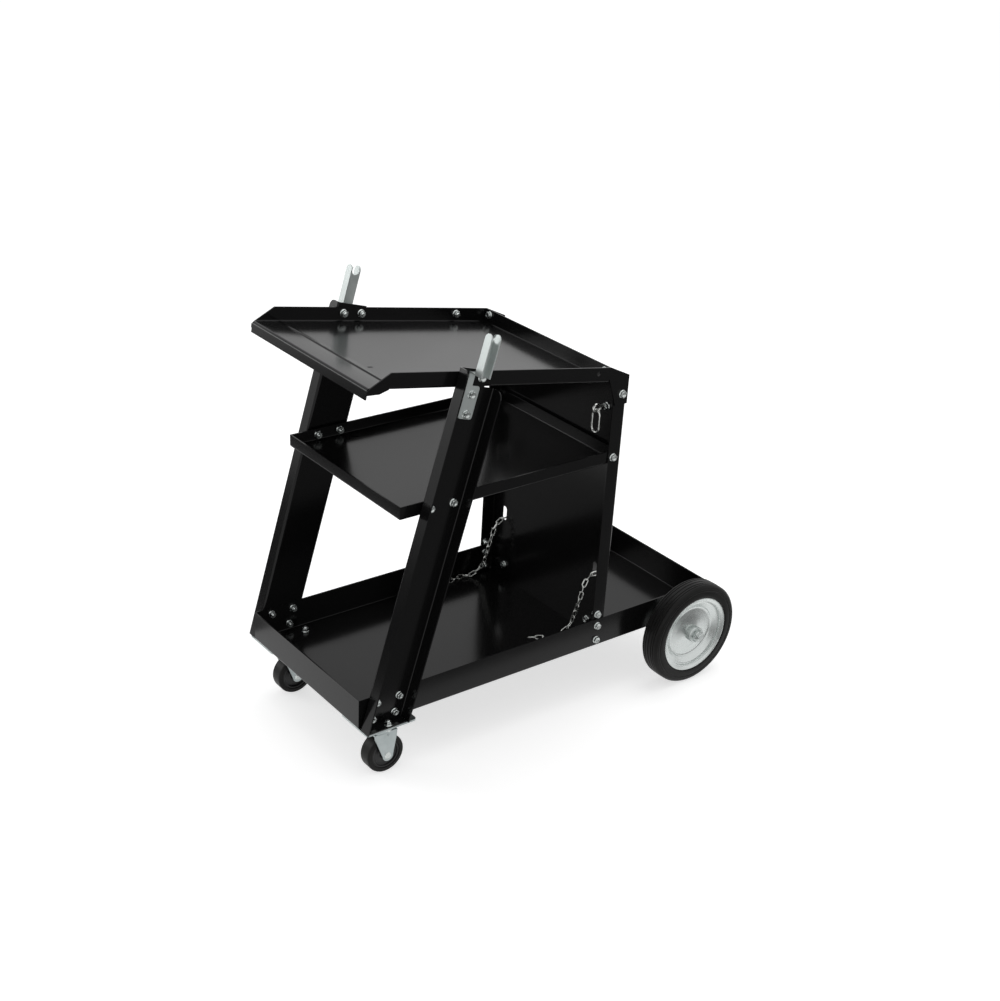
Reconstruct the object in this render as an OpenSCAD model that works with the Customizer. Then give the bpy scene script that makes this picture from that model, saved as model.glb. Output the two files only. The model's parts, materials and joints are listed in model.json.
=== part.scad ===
// Three-tier welding cart: two level shelves and a sloped top tray in folded
// sheet steel, carried by two leaning channel legs and a folded back panel.
// Front swivel casters, rear wheels on a fixed axle, cable hooks, bottle chains.
// Millimetres. +Z up, -X is the front, +Y is the cart's right-hand side.
// Stations along the cart are measured from the front face of the bottom tray.
// A module for one side draws the right-hand piece; side() mirrors it to the left.

/* [Sheet steel] */
// Thickness of every folded sheet
sheet = 2; // [1.5:0.1:2.4]
// Outside radius of the folds
fold_r = 4; // [3.2:0.2:6]

/* [Bottom tray and shelf] */
// Outside width of the bottom and top trays
tray_w = 304; // [280:2:330]
// Height of the underside of the bottom tray above the ground
deck_z = 100; // [98:1:112]
// Length of the bottom tray
deck_l = 694; // [684:1:712]
// Height of the bottom tray's walls
deck_wall = 50; // [48:1:60]
// Station of the middle shelf's front wall
shelf_x = 66; // [60:1:90]
// Height of the underside of the middle shelf
shelf_z = 420; // [400:2:440]
// Height of the middle shelf's walls
shelf_wall = 20; // [19:1:30]
// Gap between the middle shelf's rear wall and the back panel
shelf_gap = 5; // [3:0.5:6]
// Gap between the middle shelf's side walls and the legs
shelf_side_gap = 4; // [3:0.5:6]

/* [Top tray] */
// Station of the top tray's front edge
top_x = 8; // [0:1:20]
// Height of the top tray's floor at its front edge
top_z = 627; // [620:1:640]
// Length of the top tray along its slope
top_l = 425; // [415:1:430]
// Slope of the top tray, low at the rear
top_tilt = 9.5; // [7:0.5:11]
// Height of the top tray's walls above its floor
top_wall = 21; // [20:1:28]
// Depth of the lip folded down at the front of the top tray
lip_h = 16; // [12:1:22]
// Distance of the stiffening bead from the front edge
bead_x = 44; // [40:1:60]
// Height of the bead above the floor
bead_h = 1.4; // [1:0.1:1.8]

/* [Back panel] */
// Distance of the back panel's rear face behind the top tray's rear wall
ear_l = 39.83; // [36:0.01:48]
// Width of the panel's forward-folded side strips
strip_w = 25; // [24:0.5:30]
// Width of the bottle-chain slots
slot_w = 11; // [10:0.5:14]
// Length of the bottle-chain slots
slot_l = 26; // [20:1:40]
// Distance of the slots from the tray's side
slot_inset = 34; // [30:1:40]
// Height of the slots' centres
slot_z = 221; // [200:1:260]

/* [Legs] */
// Width of a leg's web
leg_w = 70; // [68:1:76]
// Outward depth of a leg's flanges, over the web
leg_d = 22; // [21:0.5:26]
// Backward lean of the legs
leg_lean = 16; // [15:0.5:17]
// Station of a leg's front edge where it meets the bottom tray's underside
leg_x = 2; // [1:0.5:5]
// Width of the tongue that reaches up beside the top tray
tongue_w = 51; // [50:0.5:54]
// How far the tongue rises above the top tray's walls
tongue_over = 7; // [3:0.5:10]

/* [Cable hooks] */
// Distance of a hook's plate from the leg's front edge
hook_u = 18; // [18:0.5:20]
// Width of a hook's plate
hook_w = 24; // [22:0.5:26]
// Width of a hook's upright arm
arm_w = 17; // [15:0.5:20]
// Length of a hook's upright arm above its ledge
arm_l = 60; // [50:1:75]
// Outward step from the leg's web to the inside of the upright arm
arm_step = 12; // [10:0.5:20]
// Depth of the arm's side flanges, over its web
arm_d = 14; // [10:0.5:18]

/* [Rear wheels] */
// Diameter of the rear wheels
wheel_d = 178; // [170:1:186]
// Width of a rear tyre
tyre_w = 36; // [32:1:38]
// Gap between the bottom tray's side and a rear tyre
wheel_gap = 11; // [10:1:20]
// Distance of the rear axle from the bottom tray's rear end
axle_inset = 64; // [54:1:74]
// Diameter of the rear axle
axle_d = 12.7; // [12:0.1:13.2]
// Radius of the steel rim's lip
rim_r = 66; // [62:0.5:68]
// Radius of the rim's dish
dish_r = 46; // [40:1:50]

/* [Casters] */
// Diameter of the caster wheels
caster_d = 63.5; // [60:0.5:65]
// Width of a caster wheel
caster_w = 24; // [20:0.5:25]
// Station of the casters' swivel axes
caster_x = 45; // [44:0.5:48]
// Distance of the swivel axes from the tray's side
caster_inset = 21; // [18:0.5:24]
// Trail of the caster wheels behind their swivel axes
caster_trail = 11; // [8:0.5:14]
// Diameter of a caster's axle rivet
caster_axle_d = 8; // [6:0.5:9]
// Thickness of a caster's mounting plate
caster_plate_t = 3; // [2.5:0.5:4]
// Diameter of the swivel race
race_d = 44; // [40:1:46]

/* [Hardware] */
// Thread diameter of the bolts
bolt_d = 6; // [5:0.5:6.5]
// Diameter of the flange on bolt heads and nuts
flange_d = 13.5; // [13:0.1:14]
// Width across flats of bolt heads and nuts
hex_af = 10; // [9:0.5:11]
// Clearance between a turning part and what it turns beside
run_clear = 0.3; // [0.2:0.05:0.5]
// Clearance on the radius between a wheel's bore and its axle
bore_clear = 0.08; // [0.03:0.01:0.1]
// Clearance on the radius around a bolt in its hole
hole_clear = 0.25; // [0.1:0.05:0.5]

/* [Chains and snap hook] */
// Wire diameter of the chain links
link_wire = 2; // [1.6:0.1:2.2]
// Outside length of a chain link
link_l = 16; // [15:0.5:18]
// Outside width of a chain link
link_w = 8; // [7.6:0.2:9]
// Wire diameter of the snap hook
snap_wire = 4; // [3.6:0.1:4.2]
// Outside length of the snap hook
snap_l = 40; // [38:1:46]
// Outside width of the snap hook
snap_w = 20; // [20:0.5:22]
// Height of the eye bolts above the middle shelf's underside
eye_rise = 77; // [68:1:85]
// Distance of the eye bolts from the tray's side
eye_inset = 40; // [32:1:48]
// Inside diameter of an eye bolt's eye
eye_d = 9; // [9:0.5:11]

/* [Hidden] */

$fn = 48;
far = 1000;                           // longer than any piece, for cuts
black = [0.13, 0.13, 0.14];
zinc = [0.74, 0.76, 0.75];
rubber = [0.15, 0.15, 0.15];
hub_black = [0.09, 0.10, 0.11];

// Planes and lengths that the driving values settle
wheel_r = wheel_d / 2;
half_w = tray_w / 2;                  // outer face of the trays' side walls
axle_x = deck_l - axle_inset;         // station of the rear axle
wheel_y = half_w + wheel_gap + tyre_w / 2;   // middle of a rear wheel
cart_l = axle_x + wheel_r;            // overall length, tray front to wheel rear
caster_y = half_w - caster_inset;
slot_y = half_w - slot_inset;
eye_y = half_w - eye_inset;
eye_z = shelf_z + eye_rise;
panel_x = top_x + top_l * cos(top_tilt) + ear_l;   // rear face of the back panel
web_y = half_w + sheet;               // outer face of a leg's web
strip_y = half_w - sheet;             // outer face of the panel's side strips
shelf_y = half_w - shelf_side_gap;    // outer face of the shelf's side walls
panel_front = panel_x - sheet;        // front face of the back panel
strip_x = panel_x - strip_w;          // front edge of the side strips
shelf_l = panel_front - shelf_gap - shelf_x;
plate_z = deck_z - caster_plate_t;    // underside of the caster plates

// A station and height in the top tray's own terms: x down its slope, h above its floor
function tray_point(station, z) = [
    (station - top_x) * cos(top_tilt) - (z - top_z) * sin(top_tilt),
    (station - top_x) * sin(top_tilt) + (z - top_z) * cos(top_tilt)];
// Height of the top tray's floor plane over a station
function floor_z(x) = top_z - (x - top_x) * tan(top_tilt);

// Distance up the leg to a height above the bottom tray's underside
function leg_v(u, rise) = (rise + u * sin(leg_lean)) / cos(leg_lean);
// Distance up the leg to a height above the top tray's floor
function leg_top_v(u, h) = (h - (leg_x - top_x) * sin(top_tilt) + (top_z - deck_z) * cos(top_tilt)
    + u * sin(leg_lean - top_tilt)) / cos(leg_lean - top_tilt);

// Leg lengths follow the top tray
leg_shoulder = leg_top_v(leg_w, -sheet - 2);
leg_top = leg_top_v(0, top_wall + tongue_over);

// Fasteners: the shank runs from the head's seat through the grip to the nut
head_h = 5;
nut_h = 6;
washer_h = 1.6;                       // flange under a head or nut
thread_over = 2;                      // thread left showing past a nut
flange_r = flange_d / 2;
leg_cols = [16, 53.5];                // bolt columns across the leg
leg_rows = [12.5, deck_wall - 11];    // bolt rows above the bottom tray's underside
top_cols = [fold_r + flange_r + 0.4, tongue_w - flange_r - 2];
top_row = 12;                         // above the top tray's floor
hook_rows = [-11, -39];               // above the top tray's floor, so below it
panel_col = strip_x + flange_r + 2.2;
panel_rows = [12.5, deck_wall - 12, deck_wall + 8];
shelf_row = shelf_z + shelf_wall / 2 + 0.5;
ear_top = floor_z(panel_x) + 10;      // ears of the top tray, behind its rear wall
ear_low = floor_z(panel_x) - 35;
panel_top = floor_z(panel_x) + 6;
ear_bolt = [strip_x + 14, ear_low + 17];
clip_y = half_w - 41;                 // panel clips, at the foot of the back panel
clip_w = 24;
clip_l = 24;
clip_bolt_z = deck_z + 26;
wall_bolt_x = top_l - 62;             // down the slope, right-hand wall only
spare_hole_x = top_l - 23;            // down the slope, left-hand wall only
corner_y = half_w - 12;               // bolts that close the top tray's rear corners
caster_holes = [[-33, 0], [35, 0], [-2, 34]];   // from the swivel axis, +Y outwards

// Mirrors a right-hand piece to the side s = -1, left, or keeps it at s = 1
module side(s) { mirror([0, s < 0 ? 1 : 0, 0]) children(); }
module both() { for (s = [-1, 1]) side(s) children(); }
// From stations to the model's own origin, midway along the cart
module cart() { translate([-cart_l / 2, 0, 0]) children(); }
// Frame of the right leg: x across its web, z up it, y = 0 on the web's outer face
module leg_frame() { translate([leg_x, web_y, deck_z]) rotate([0, leg_lean, 0]) children(); }
// Frame of the top tray: x down its slope, z = 0 on its floor
module top_frame() { translate([top_x, 0, top_z]) rotate([0, top_tilt, 0]) children(); }
// Turns +Z outwards to +Y, and inwards to -Y
module outwards() { rotate([-90, 0, 0]) children(); }
module inwards() { rotate([90, 0, 0]) children(); }
// Extrudes an outline drawn in X and Z over y = 0 to y = t
module slab(t) { translate([0, t, 0]) rotate([90, 0, 0]) linear_extrude(t) children(); }

module hex(h) { cylinder(d = hex_af / cos(30), h = h, $fn = 6); }

// Flanged hexagon bolt: its head lies below z = 0, its shank reaches past the nut
module bolt(grip) {
    translate([0, 0, -washer_h]) cylinder(d = flange_d, h = washer_h);
    translate([0, 0, -head_h]) hex(head_h - washer_h / 2);
    cylinder(d = bolt_d, h = grip + nut_h + thread_over);
}

module nut(grip) {
    translate([0, 0, grip]) difference() {
        union() {
            cylinder(d = flange_d, h = washer_h);
            translate([0, 0, washer_h / 2]) hex(nut_h - washer_h / 2);
        }
        translate([0, 0, -1]) cylinder(d = bolt_d + 0.1, h = nut_h + 2);
    }
}

module bolt_hole() { translate([0, 0, -20]) cylinder(d = bolt_d + 2 * hole_clear, h = 40); }

// Rectangle standing on z = 0 with its two lower corners rounded
module round_foot(l, h, r) {
    translate([0, r]) square([l, h - r]);
    translate([r, 0]) square([l - 2 * r, r]);
    for (x = [r, l - r]) translate([x, r]) circle(r);
}

// Section of a channel: web along x, folded walls of height h
module channel(w, h) {
    difference() {
        round_foot(w, h, fold_r);
        translate([sheet, sheet]) round_foot(w - 2 * sheet, h, fold_r - sheet);
    }
}

// Block with its four lower edges rounded like a folded tray
module pan_block(l, w, h, r) {
    intersection() {
        translate([0, -w / 2, 0]) slab(w) round_foot(l, h, r);
        rotate([90, 0, 90]) linear_extrude(l) translate([-w / 2, 0]) round_foot(w, h, r);
    }
}

// Open tray folded up on four sides, its corners welded
module pan(l, w, h) {
    difference() {
        pan_block(l, w, h, fold_r);
        translate([sheet, 0, sheet])
            pan_block(l - 2 * sheet, w - 2 * sheet, h, fold_r - sheet);
    }
}

// Rectangle with rounded corners, centred
module round_plate(l, w, r) {
    square([l - 2 * r, w], center = true);
    square([l, w - 2 * r], center = true);
    for (x = [-1, 1], y = [-1, 1]) translate([x * (l / 2 - r), y * (w / 2 - r)]) circle(r);
}

// Slot outline with round ends, long along x, centred
module obround(l, w) {
    square([l - w, w], center = true);
    for (e = [-1, 1]) translate([e * (l - w) / 2, 0]) circle(d = w);
}

// Where each kind of fastener goes on the right-hand side
module at_leg_bolts() {
    for (u = leg_cols, rise = leg_rows) leg_frame() translate([u, 0, leg_v(u, rise)]) inwards() children();
}
module at_shelf_leg_bolts() {
    for (u = leg_cols) leg_frame() translate([u, 0, leg_v(u, shelf_row - deck_z)]) inwards() children();
}
module at_shelf_panel_bolt() { translate([panel_col, strip_y, shelf_row]) inwards() children(); }
module at_top_bolts() {
    for (u = top_cols) leg_frame() translate([u, 0, leg_top_v(u, top_row)]) inwards() children();
}
module at_hook_bolts() {
    u = hook_u + hook_w / 2;
    for (h = hook_rows) leg_frame() translate([u, 0, leg_top_v(u, h)]) inwards() children();
}
module at_deck_panel_bolts() {
    for (i = [0, 1]) translate([panel_col, half_w, deck_z + panel_rows[i]]) inwards() children();
}
module at_strip_bolt() { translate([panel_col, strip_y, deck_z + panel_rows[2]]) inwards() children(); }
module at_ear_bolt() { translate([ear_bolt[0], half_w, ear_bolt[1]]) inwards() children(); }
module at_clip_bolt() { translate([panel_front, clip_y, clip_bolt_z]) rotate([0, 90, 0]) children(); }
module at_eye() { translate([panel_front, eye_y, eye_z]) rotate([0, 90, 0]) children(); }
module at_wall_bolt() { top_frame() translate([wall_bolt_x, half_w, top_row]) inwards() children(); }
module at_corner_bolt() {
    top_frame() translate([top_l - sheet, corner_y, top_row]) rotate([0, 90, 0]) children();
}
module at_caster_bolts() {
    for (p = caster_holes) translate([caster_x + p[0], caster_y + p[1], plate_z]) children();
}
module at_spare_hole() { top_frame() translate([spare_hole_x, -half_w, top_row]) outwards() children(); }

// ---- Trays, shelf and panel ----

module bottom_tray() {
    color(black) cart() difference() {
        translate([0, 0, deck_z]) pan(deck_l, tray_w, deck_wall);
        both() {
            at_leg_bolts() bolt_hole();
            at_deck_panel_bolts() bolt_hole();
            at_caster_bolts() bolt_hole();
        }
    }
}

module middle_shelf() {
    color(black) cart() difference() {
        translate([shelf_x, 0, shelf_z]) pan(shelf_l, 2 * shelf_y, shelf_wall);
        both() {
            at_shelf_leg_bolts() bolt_hole();
            at_shelf_panel_bolt() bolt_hole();
        }
    }
}

// Front lip of the top tray, folded down with its bend
module top_lip() {
    lip_w = tray_w - 2 * sheet;
    translate([0, -lip_w / 2, 0]) slab(lip_w) {
        translate([0, -lip_h]) square([sheet, lip_h - fold_r]);
        intersection() {
            translate([fold_r, -fold_r]) difference() {
                circle(fold_r);
                circle(fold_r - sheet);
            }
            translate([0, -fold_r]) square(fold_r);
        }
    }
}

// Raised bead pressed across the floor
module top_bead() {
    bead_r = 3;
    w = tray_w - 2 * fold_r;
    translate([bead_x, -w / 2, 0]) slab(w) intersection() {
        translate([0, bead_h - bead_r]) circle(bead_r);
        translate([-bead_r, -sheet / 2]) square([2 * bead_r, bead_h + sheet]);
    }
}

// Side wall forward of the folds: the gusset that joins it to the lip
module top_gusset() {
    translate([0, half_w - sheet, 0]) slab(sheet)
        polygon([[0, -lip_h * 0.6], [20, -lip_h * 0.5], [34, -sheet], [34, fold_r], [fold_r + 3, sheet],
            [fold_r, 0], [0, -fold_r]]);
}

// Ear behind the rear wall: the side wall carried down beside the panel's strip
module top_ear() {
    translate([0, half_w - sheet, 0]) slab(sheet)
        polygon([[top_l - 8, fold_r - 1], [top_l - 8, top_wall], [top_l, top_wall],
            tray_point(panel_x, ear_top), tray_point(panel_x, ear_low), tray_point(strip_x + 2, ear_low),
            [top_l + 1, fold_r - 1]]);
}

module top_tray() {
    front_spare = 20;                 // length cut off in front of the lip
    tab_w = half_w - sheet - corner_y + flange_r + 2;
    color(black) cart() difference() {
        top_frame() {
            difference() {
                translate([-front_spare, 0, -sheet]) pan(top_l + front_spare, tray_w, top_wall + sheet);
                translate([-far + fold_r, -far / 2, -far / 2]) cube(far);
                translate([0, -far / 2, 0]) slab(far)
                    polygon([[fold_r - 1, 0], [fold_r, 0], [34, top_wall], [34, far], [fold_r - 1, far]]);
            }
            top_lip();
            top_bead();
            both() {
                top_gusset();
                top_ear();
                // tab folded in behind the rear wall
                translate([top_l, half_w - sheet - tab_w, 2]) cube([sheet, tab_w, top_wall - 4]);
            }
        }
        both() {
            at_top_bolts() bolt_hole();
            at_ear_bolt() bolt_hole();
            at_corner_bolt() bolt_hole();
        }
        at_wall_bolt() bolt_hole();
        at_spare_hole() bolt_hole();
        top_frame() {
            translate([bead_x + 18, -64, -10]) linear_extrude(20) obround(9, 3.4);
            // hollow under the bead
            translate([bead_x, -half_w + fold_r, -sheet - 1]) slab(tray_w - 2 * fold_r) circle(2.2);
        }
    }
}

module back_panel() {
    foot = deck_z + sheet;
    color(black) cart() difference() {
        translate([panel_x, -strip_y, foot]) rotate([0, 0, 90])
            linear_extrude(panel_top - foot) channel(2 * strip_y, strip_w);
        both() {
            at_shelf_panel_bolt() bolt_hole();
            at_deck_panel_bolts() bolt_hole();
            at_strip_bolt() bolt_hole();
            at_ear_bolt() bolt_hole();
            at_clip_bolt() bolt_hole();
            at_eye() bolt_hole();
            // foot corners, clear of the tray's folds
            translate([panel_x - far / 2, strip_y - fold_r, deck_z]) cube([far, far, fold_r + 0.5]);
            translate([panel_x - 10, slot_y, slot_z]) rotate([0, 90, 0])
                linear_extrude(20) obround(slot_l, slot_w);
        }
    }
}

// Folded clips that hold the panel's foot to the bottom tray's floor
module panel_clips() {
    clip_h = clip_bolt_z - deck_z + flange_r + 2;
    color(black) cart() both() difference() {
        translate([panel_x, clip_y + clip_w / 2, deck_z + sheet]) rotate([90, 0, 0])
            linear_extrude(clip_w) difference() {
                intersection() {
                    round_foot(clip_l + fold_r, clip_h, fold_r);
                    square([clip_l, clip_h]);
                }
                translate([sheet, sheet]) round_foot(far, far, fold_r - sheet);
            }
        at_clip_bolt() bolt_hole();
    }
}

// ---- Legs and cable hooks ----

// Cutter that rounds the outer top corner of a leg's flange at height v
module flange_corner(u, v, r) {
    translate([u - 5, leg_d - sheet - r, v - r]) difference() {
        cube([10, far, far]);
        rotate([0, 90, 0]) cylinder(r = r, h = 10);
    }
}

module leg() {
    difference() {
        leg_frame() difference() {
            translate([0, -sheet, -leg_w]) linear_extrude(leg_top + leg_w) channel(leg_w, leg_d);
            translate([tongue_w, -far / 2, leg_shoulder]) cube(far);
            flange_corner(leg_w, leg_shoulder, 12);
            flange_corner(0, leg_top, 10);
        }
        translate([-far / 2, -far / 2, deck_z - far]) cube(far);
        at_leg_bolts() bolt_hole();
        at_shelf_leg_bolts() bolt_hole();
        at_top_bolts() bolt_hole();
        at_hook_bolts() bolt_hole();
    }
    // foot tab, folded outwards from the web between the flanges
    tab_x = leg_x + sheet / cos(leg_lean) + 2;
    tab_l = (leg_w - 2 * sheet) / cos(leg_lean) - 4;
    difference() {
        translate([tab_x, half_w, deck_z]) cube([tab_l, leg_d - 2, sheet]);
        at_caster_bolts() bolt_hole();
    }
}

module leg_left() { color(black) cart() side(-1) leg(); }
module leg_right() { color(black) cart() leg(); }

// Cable hook: plate on the leg, ledge outwards, channel arm standing on the ledge
module cable_hook() {
    u_mid = hook_u + hook_w / 2;
    low = leg_top_v(u_mid, hook_rows[1]) - flange_r - 0.3;
    shoulder = leg_top_v(hook_u, top_row) - flange_r - 2.5;
    ledge = leg_top_v(hook_u, top_wall) + 1;
    neck_w = 10;
    reach = arm_step + sheet;         // outer face of the arm's web
    scoop_r = (arm_w - 2 * sheet) / 2;
    difference() {
        leg_frame() {
            // plate, neck and ledge
            slab(sheet) {
                translate([u_mid, (low + shoulder) / 2]) round_plate(hook_w, shoulder - low, 4);
                translate([hook_u, shoulder - 8]) square([neck_w, ledge - shoulder + 8]);
            }
            translate([hook_u, 0, ledge - sheet]) cube([arm_w, reach, sheet]);
            difference() {
                translate([hook_u, arm_step, ledge - sheet]) linear_extrude(arm_l) difference() {
                    square([arm_w, arm_d]);
                    translate([sheet, sheet]) square([arm_w - 2 * sheet, arm_d]);
                }
                // rounded tips of the flanges
                translate([hook_u - 5, arm_step, ledge - sheet + arm_l - arm_d / 2]) difference() {
                    cube([arm_w + 10, arm_d, arm_d]);
                    translate([0, arm_d / 2, 0]) rotate([0, 90, 0]) cylinder(d = arm_d, h = arm_w + 10);
                }
                // scooped top of the web
                translate([hook_u + arm_w / 2, arm_step - 1, ledge - sheet + arm_l - arm_d / 2])
                    outwards() cylinder(r = scoop_r, h = sheet + 1);
            }
        }
        at_hook_bolts() bolt_hole();
    }
}

module cable_hook_left() { color(zinc) cart() side(-1) cable_hook(); }
module cable_hook_right() { color(zinc) cart() cable_hook(); }

// ---- Rear axle and wheels ----

// Places along the axle, outwards from the centre plane
bracket_t = 3;
bracket_y = half_w - 10;              // outer face of a bracket
hub_in = wheel_y - 20;                // inner end of a wheel's hub
hub_out = wheel_y + 19;               // outer end of a wheel's hub
washer_t = 2;
washer_d = 27;
spacer_d = 19;
axle_nut_h = 8;
axle_nut_af = 19;                     // width across the nut's flats
axle_nut_face = 17;                   // diameter of the nut's outer face
axle_end = hub_out + run_clear + washer_t + axle_nut_h + 2;

// Frame of the axle: z along it, outwards on the right
module axle_frame() { translate([axle_x, 0, wheel_r]) outwards() children(); }

module rear_axle() {
    color(zinc) cart() axle_frame() {
        cylinder(d = axle_d, h = 2 * axle_end - 2, center = true);
        for (s = [0, 1]) mirror([0, 0, s])
            translate([0, 0, axle_end - 1]) cylinder(d1 = axle_d, d2 = axle_d - 2, h = 1);
    }
}

// Angle bracket welded under the bottom tray, bored for the axle
module axle_bracket() {
    bracket_w = 50;
    foot_w = 28;
    difference() {
        union() {
            translate([axle_x - bracket_w / 2, bracket_y - bracket_t, wheel_r])
                cube([bracket_w, bracket_t, deck_z - wheel_r]);
            axle_frame() translate([0, 0, bracket_y - bracket_t]) cylinder(d = 2 * axle_d, h = bracket_t);
            translate([axle_x - bracket_w / 2, bracket_y - foot_w, deck_z - bracket_t])
                cube([bracket_w, foot_w, bracket_t]);
        }
        axle_frame() cylinder(d = axle_d + 2 * bore_clear, h = far);
        translate([axle_x - far / 2, -far / 2, deck_z]) cube(far);
    }
}
module axle_bracket_left() { color(black) cart() side(-1) axle_bracket(); }
module axle_bracket_right() { color(black) cart() axle_bracket(); }

// Ring on the axle from y = a to y = b
module axle_ring(d, a, b) {
    axle_frame() translate([0, 0, a]) difference() {
        cylinder(d = d, h = b - a);
        translate([0, 0, -1]) cylinder(d = axle_d + 2 * bore_clear, h = b - a + 2);
    }
}
module axle_spacers() { color(zinc) cart() both() axle_ring(spacer_d, bracket_y, hub_in - run_clear); }
module axle_washers() {
    color(zinc) cart() both() axle_ring(washer_d, hub_out + run_clear, hub_out + run_clear + washer_t);
}
module axle_nuts() {
    nut_y = hub_out + run_clear + washer_t;
    color(zinc) cart() both() axle_frame() translate([0, 0, nut_y]) difference() {
        union() {
            cylinder(d = axle_nut_af / cos(30), h = axle_nut_h - 2, $fn = 6);
            cylinder(d = axle_nut_face, h = axle_nut_h);
        }
        translate([0, 0, -1]) cylinder(d = axle_d + 0.1, h = axle_nut_h + 2);
    }
}

// Frame of the right rear wheel: z outwards from the wheel's middle
module wheel_frame() { axle_frame() translate([0, 0, wheel_y]) children(); }

bead_seat = rim_r - 6;                // radius on which the tyre's beads sit

// Tyre: rounded shoulders, ribbed tread, inner face seated on the rim
module rear_tyre() {
    crown = 6;                        // shoulder radius
    half = tyre_w / 2;
    rib = 1.6;                        // depth of the tread grooves
    wheel_frame() rotate_extrude() difference() {
        union() {
            translate([bead_seat, -half + 5]) square([wheel_r - bead_seat, tyre_w - 10]);
            translate([rim_r + 4, -half]) square([wheel_r - crown - rim_r - 4, tyre_w]);
            for (s = [-1, 1]) {
                translate([wheel_r - crown, s * (half - crown)]) circle(crown);
                translate([rim_r + 4, s * (half - 4)]) circle(4);
            }
        }
        for (y = [-11, -6.5, 0, 6.5, 11]) translate([wheel_r, y * tyre_w / 36]) circle(rib, $fn = 24);
        for (s = [-1, 1]) translate([rim_r + 12, s * (half + 0.6)]) circle(rib, $fn = 24);
    }
}
module rear_tyre_left() { color(rubber) cart() side(-1) rear_tyre(); }
module rear_tyre_right() { color(rubber) cart() rear_tyre(); }

// Steel rim: bed with two flared lips, dished disc, hub tube
module rear_rim() {
    bed = tyre_w / 2 - 5;             // half width of the bed
    bed_r = bead_seat - sheet;
    hub_r = axle_d / 2 + 4;
    disc_y = 2;
    wheel_frame() rotate_extrude() {
        lip = [[bead_seat, bed], [rim_r - 5, bed], [rim_r, bed + 3], [rim_r, bed + 4.5],
            [rim_r - 1.5, bed + 4.5], [rim_r - 6.5, bed + 2], [bed_r, bed + 2]];
        polygon(concat(lip, [for (i = [len(lip) - 1 : -1 : 0]) [lip[i][0], -lip[i][1]]]));
        polygon([[bed_r + 0.5, bed - 1], [dish_r, disc_y + 4], [dish_r - 5, disc_y], [hub_r, disc_y],
            [hub_r, disc_y - sheet], [dish_r - 4, disc_y - sheet], [dish_r + 1, disc_y + 4 - sheet],
            [bed_r + 0.5, bed - 1 - sheet]]);
        translate([hub_r, hub_in - wheel_y]) square([3, hub_out - hub_in]);
        polygon([[hub_r, disc_y - 1], [hub_r + 9, disc_y - 1], [hub_r + 9, disc_y], [hub_r + 3, disc_y + 7],
            [hub_r, disc_y + 7]]);
    }
}
module rear_rim_left() { color(zinc) cart() side(-1) rear_rim(); }
module rear_rim_right() { color(zinc) cart() rear_rim(); }

// Plain bush pressed in the hub, running on the axle
module rear_bush() {
    wheel_frame() translate([0, 0, hub_in - wheel_y]) difference() {
        cylinder(d = axle_d + 8, h = hub_out - hub_in);
        translate([0, 0, -1]) cylinder(d = axle_d + 2 * bore_clear, h = far);
    }
}
module rear_bush_left() { color(hub_black) cart() side(-1) rear_bush(); }
module rear_bush_right() { color(hub_black) cart() rear_bush(); }

// ---- Casters ----

fork_gap = caster_w / 2 + 2.5;        // inner face of a fork's side plates
fork_t = 2.5;
crown_z = caster_d + 9;               // underside of the fork's crown
crown_top = crown_z + fork_t;
race_z = (plate_z + crown_top) / 2;   // where the two races meet
pin_r = 5;

module caster_frame() { translate([caster_x, caster_y, 0]) children(); }

// Mounting plate with the pressed upper race
module caster_plate() {
    plate_l = 88;
    plate_w = 72;
    difference() {
        union() {
            translate([caster_x + 1, caster_y + 5, plate_z])
                linear_extrude(caster_plate_t) round_plate(plate_l, plate_w, 6);
            caster_frame() translate([0, 0, race_z]) {
                cylinder(d = race_d, h = 3);
                translate([0, 0, 3]) cylinder(d1 = race_d, d2 = race_d - 10, h = plate_z - race_z - 3);
            }
        }
        at_caster_bolts() bolt_hole();
        caster_frame() cylinder(r = pin_r + bore_clear, h = far);
    }
}
module caster_plate_left() { color(zinc) cart() side(-1) caster_plate(); }
module caster_plate_right() { color(zinc) cart() caster_plate(); }

// Kingpin riveted flush in the plate, its head under the fork's crown
module caster_kingpin() {
    caster_frame() {
        translate([0, 0, crown_z - 3]) cylinder(r = pin_r, h = deck_z - crown_z + 3);
        translate([0, 0, crown_z - run_clear - 3]) cylinder(r = pin_r + 4, h = 3);
    }
}
module caster_kingpin_left() { color(zinc) cart() side(-1) caster_kingpin(); }
module caster_kingpin_right() { color(zinc) cart() caster_kingpin(); }

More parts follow.
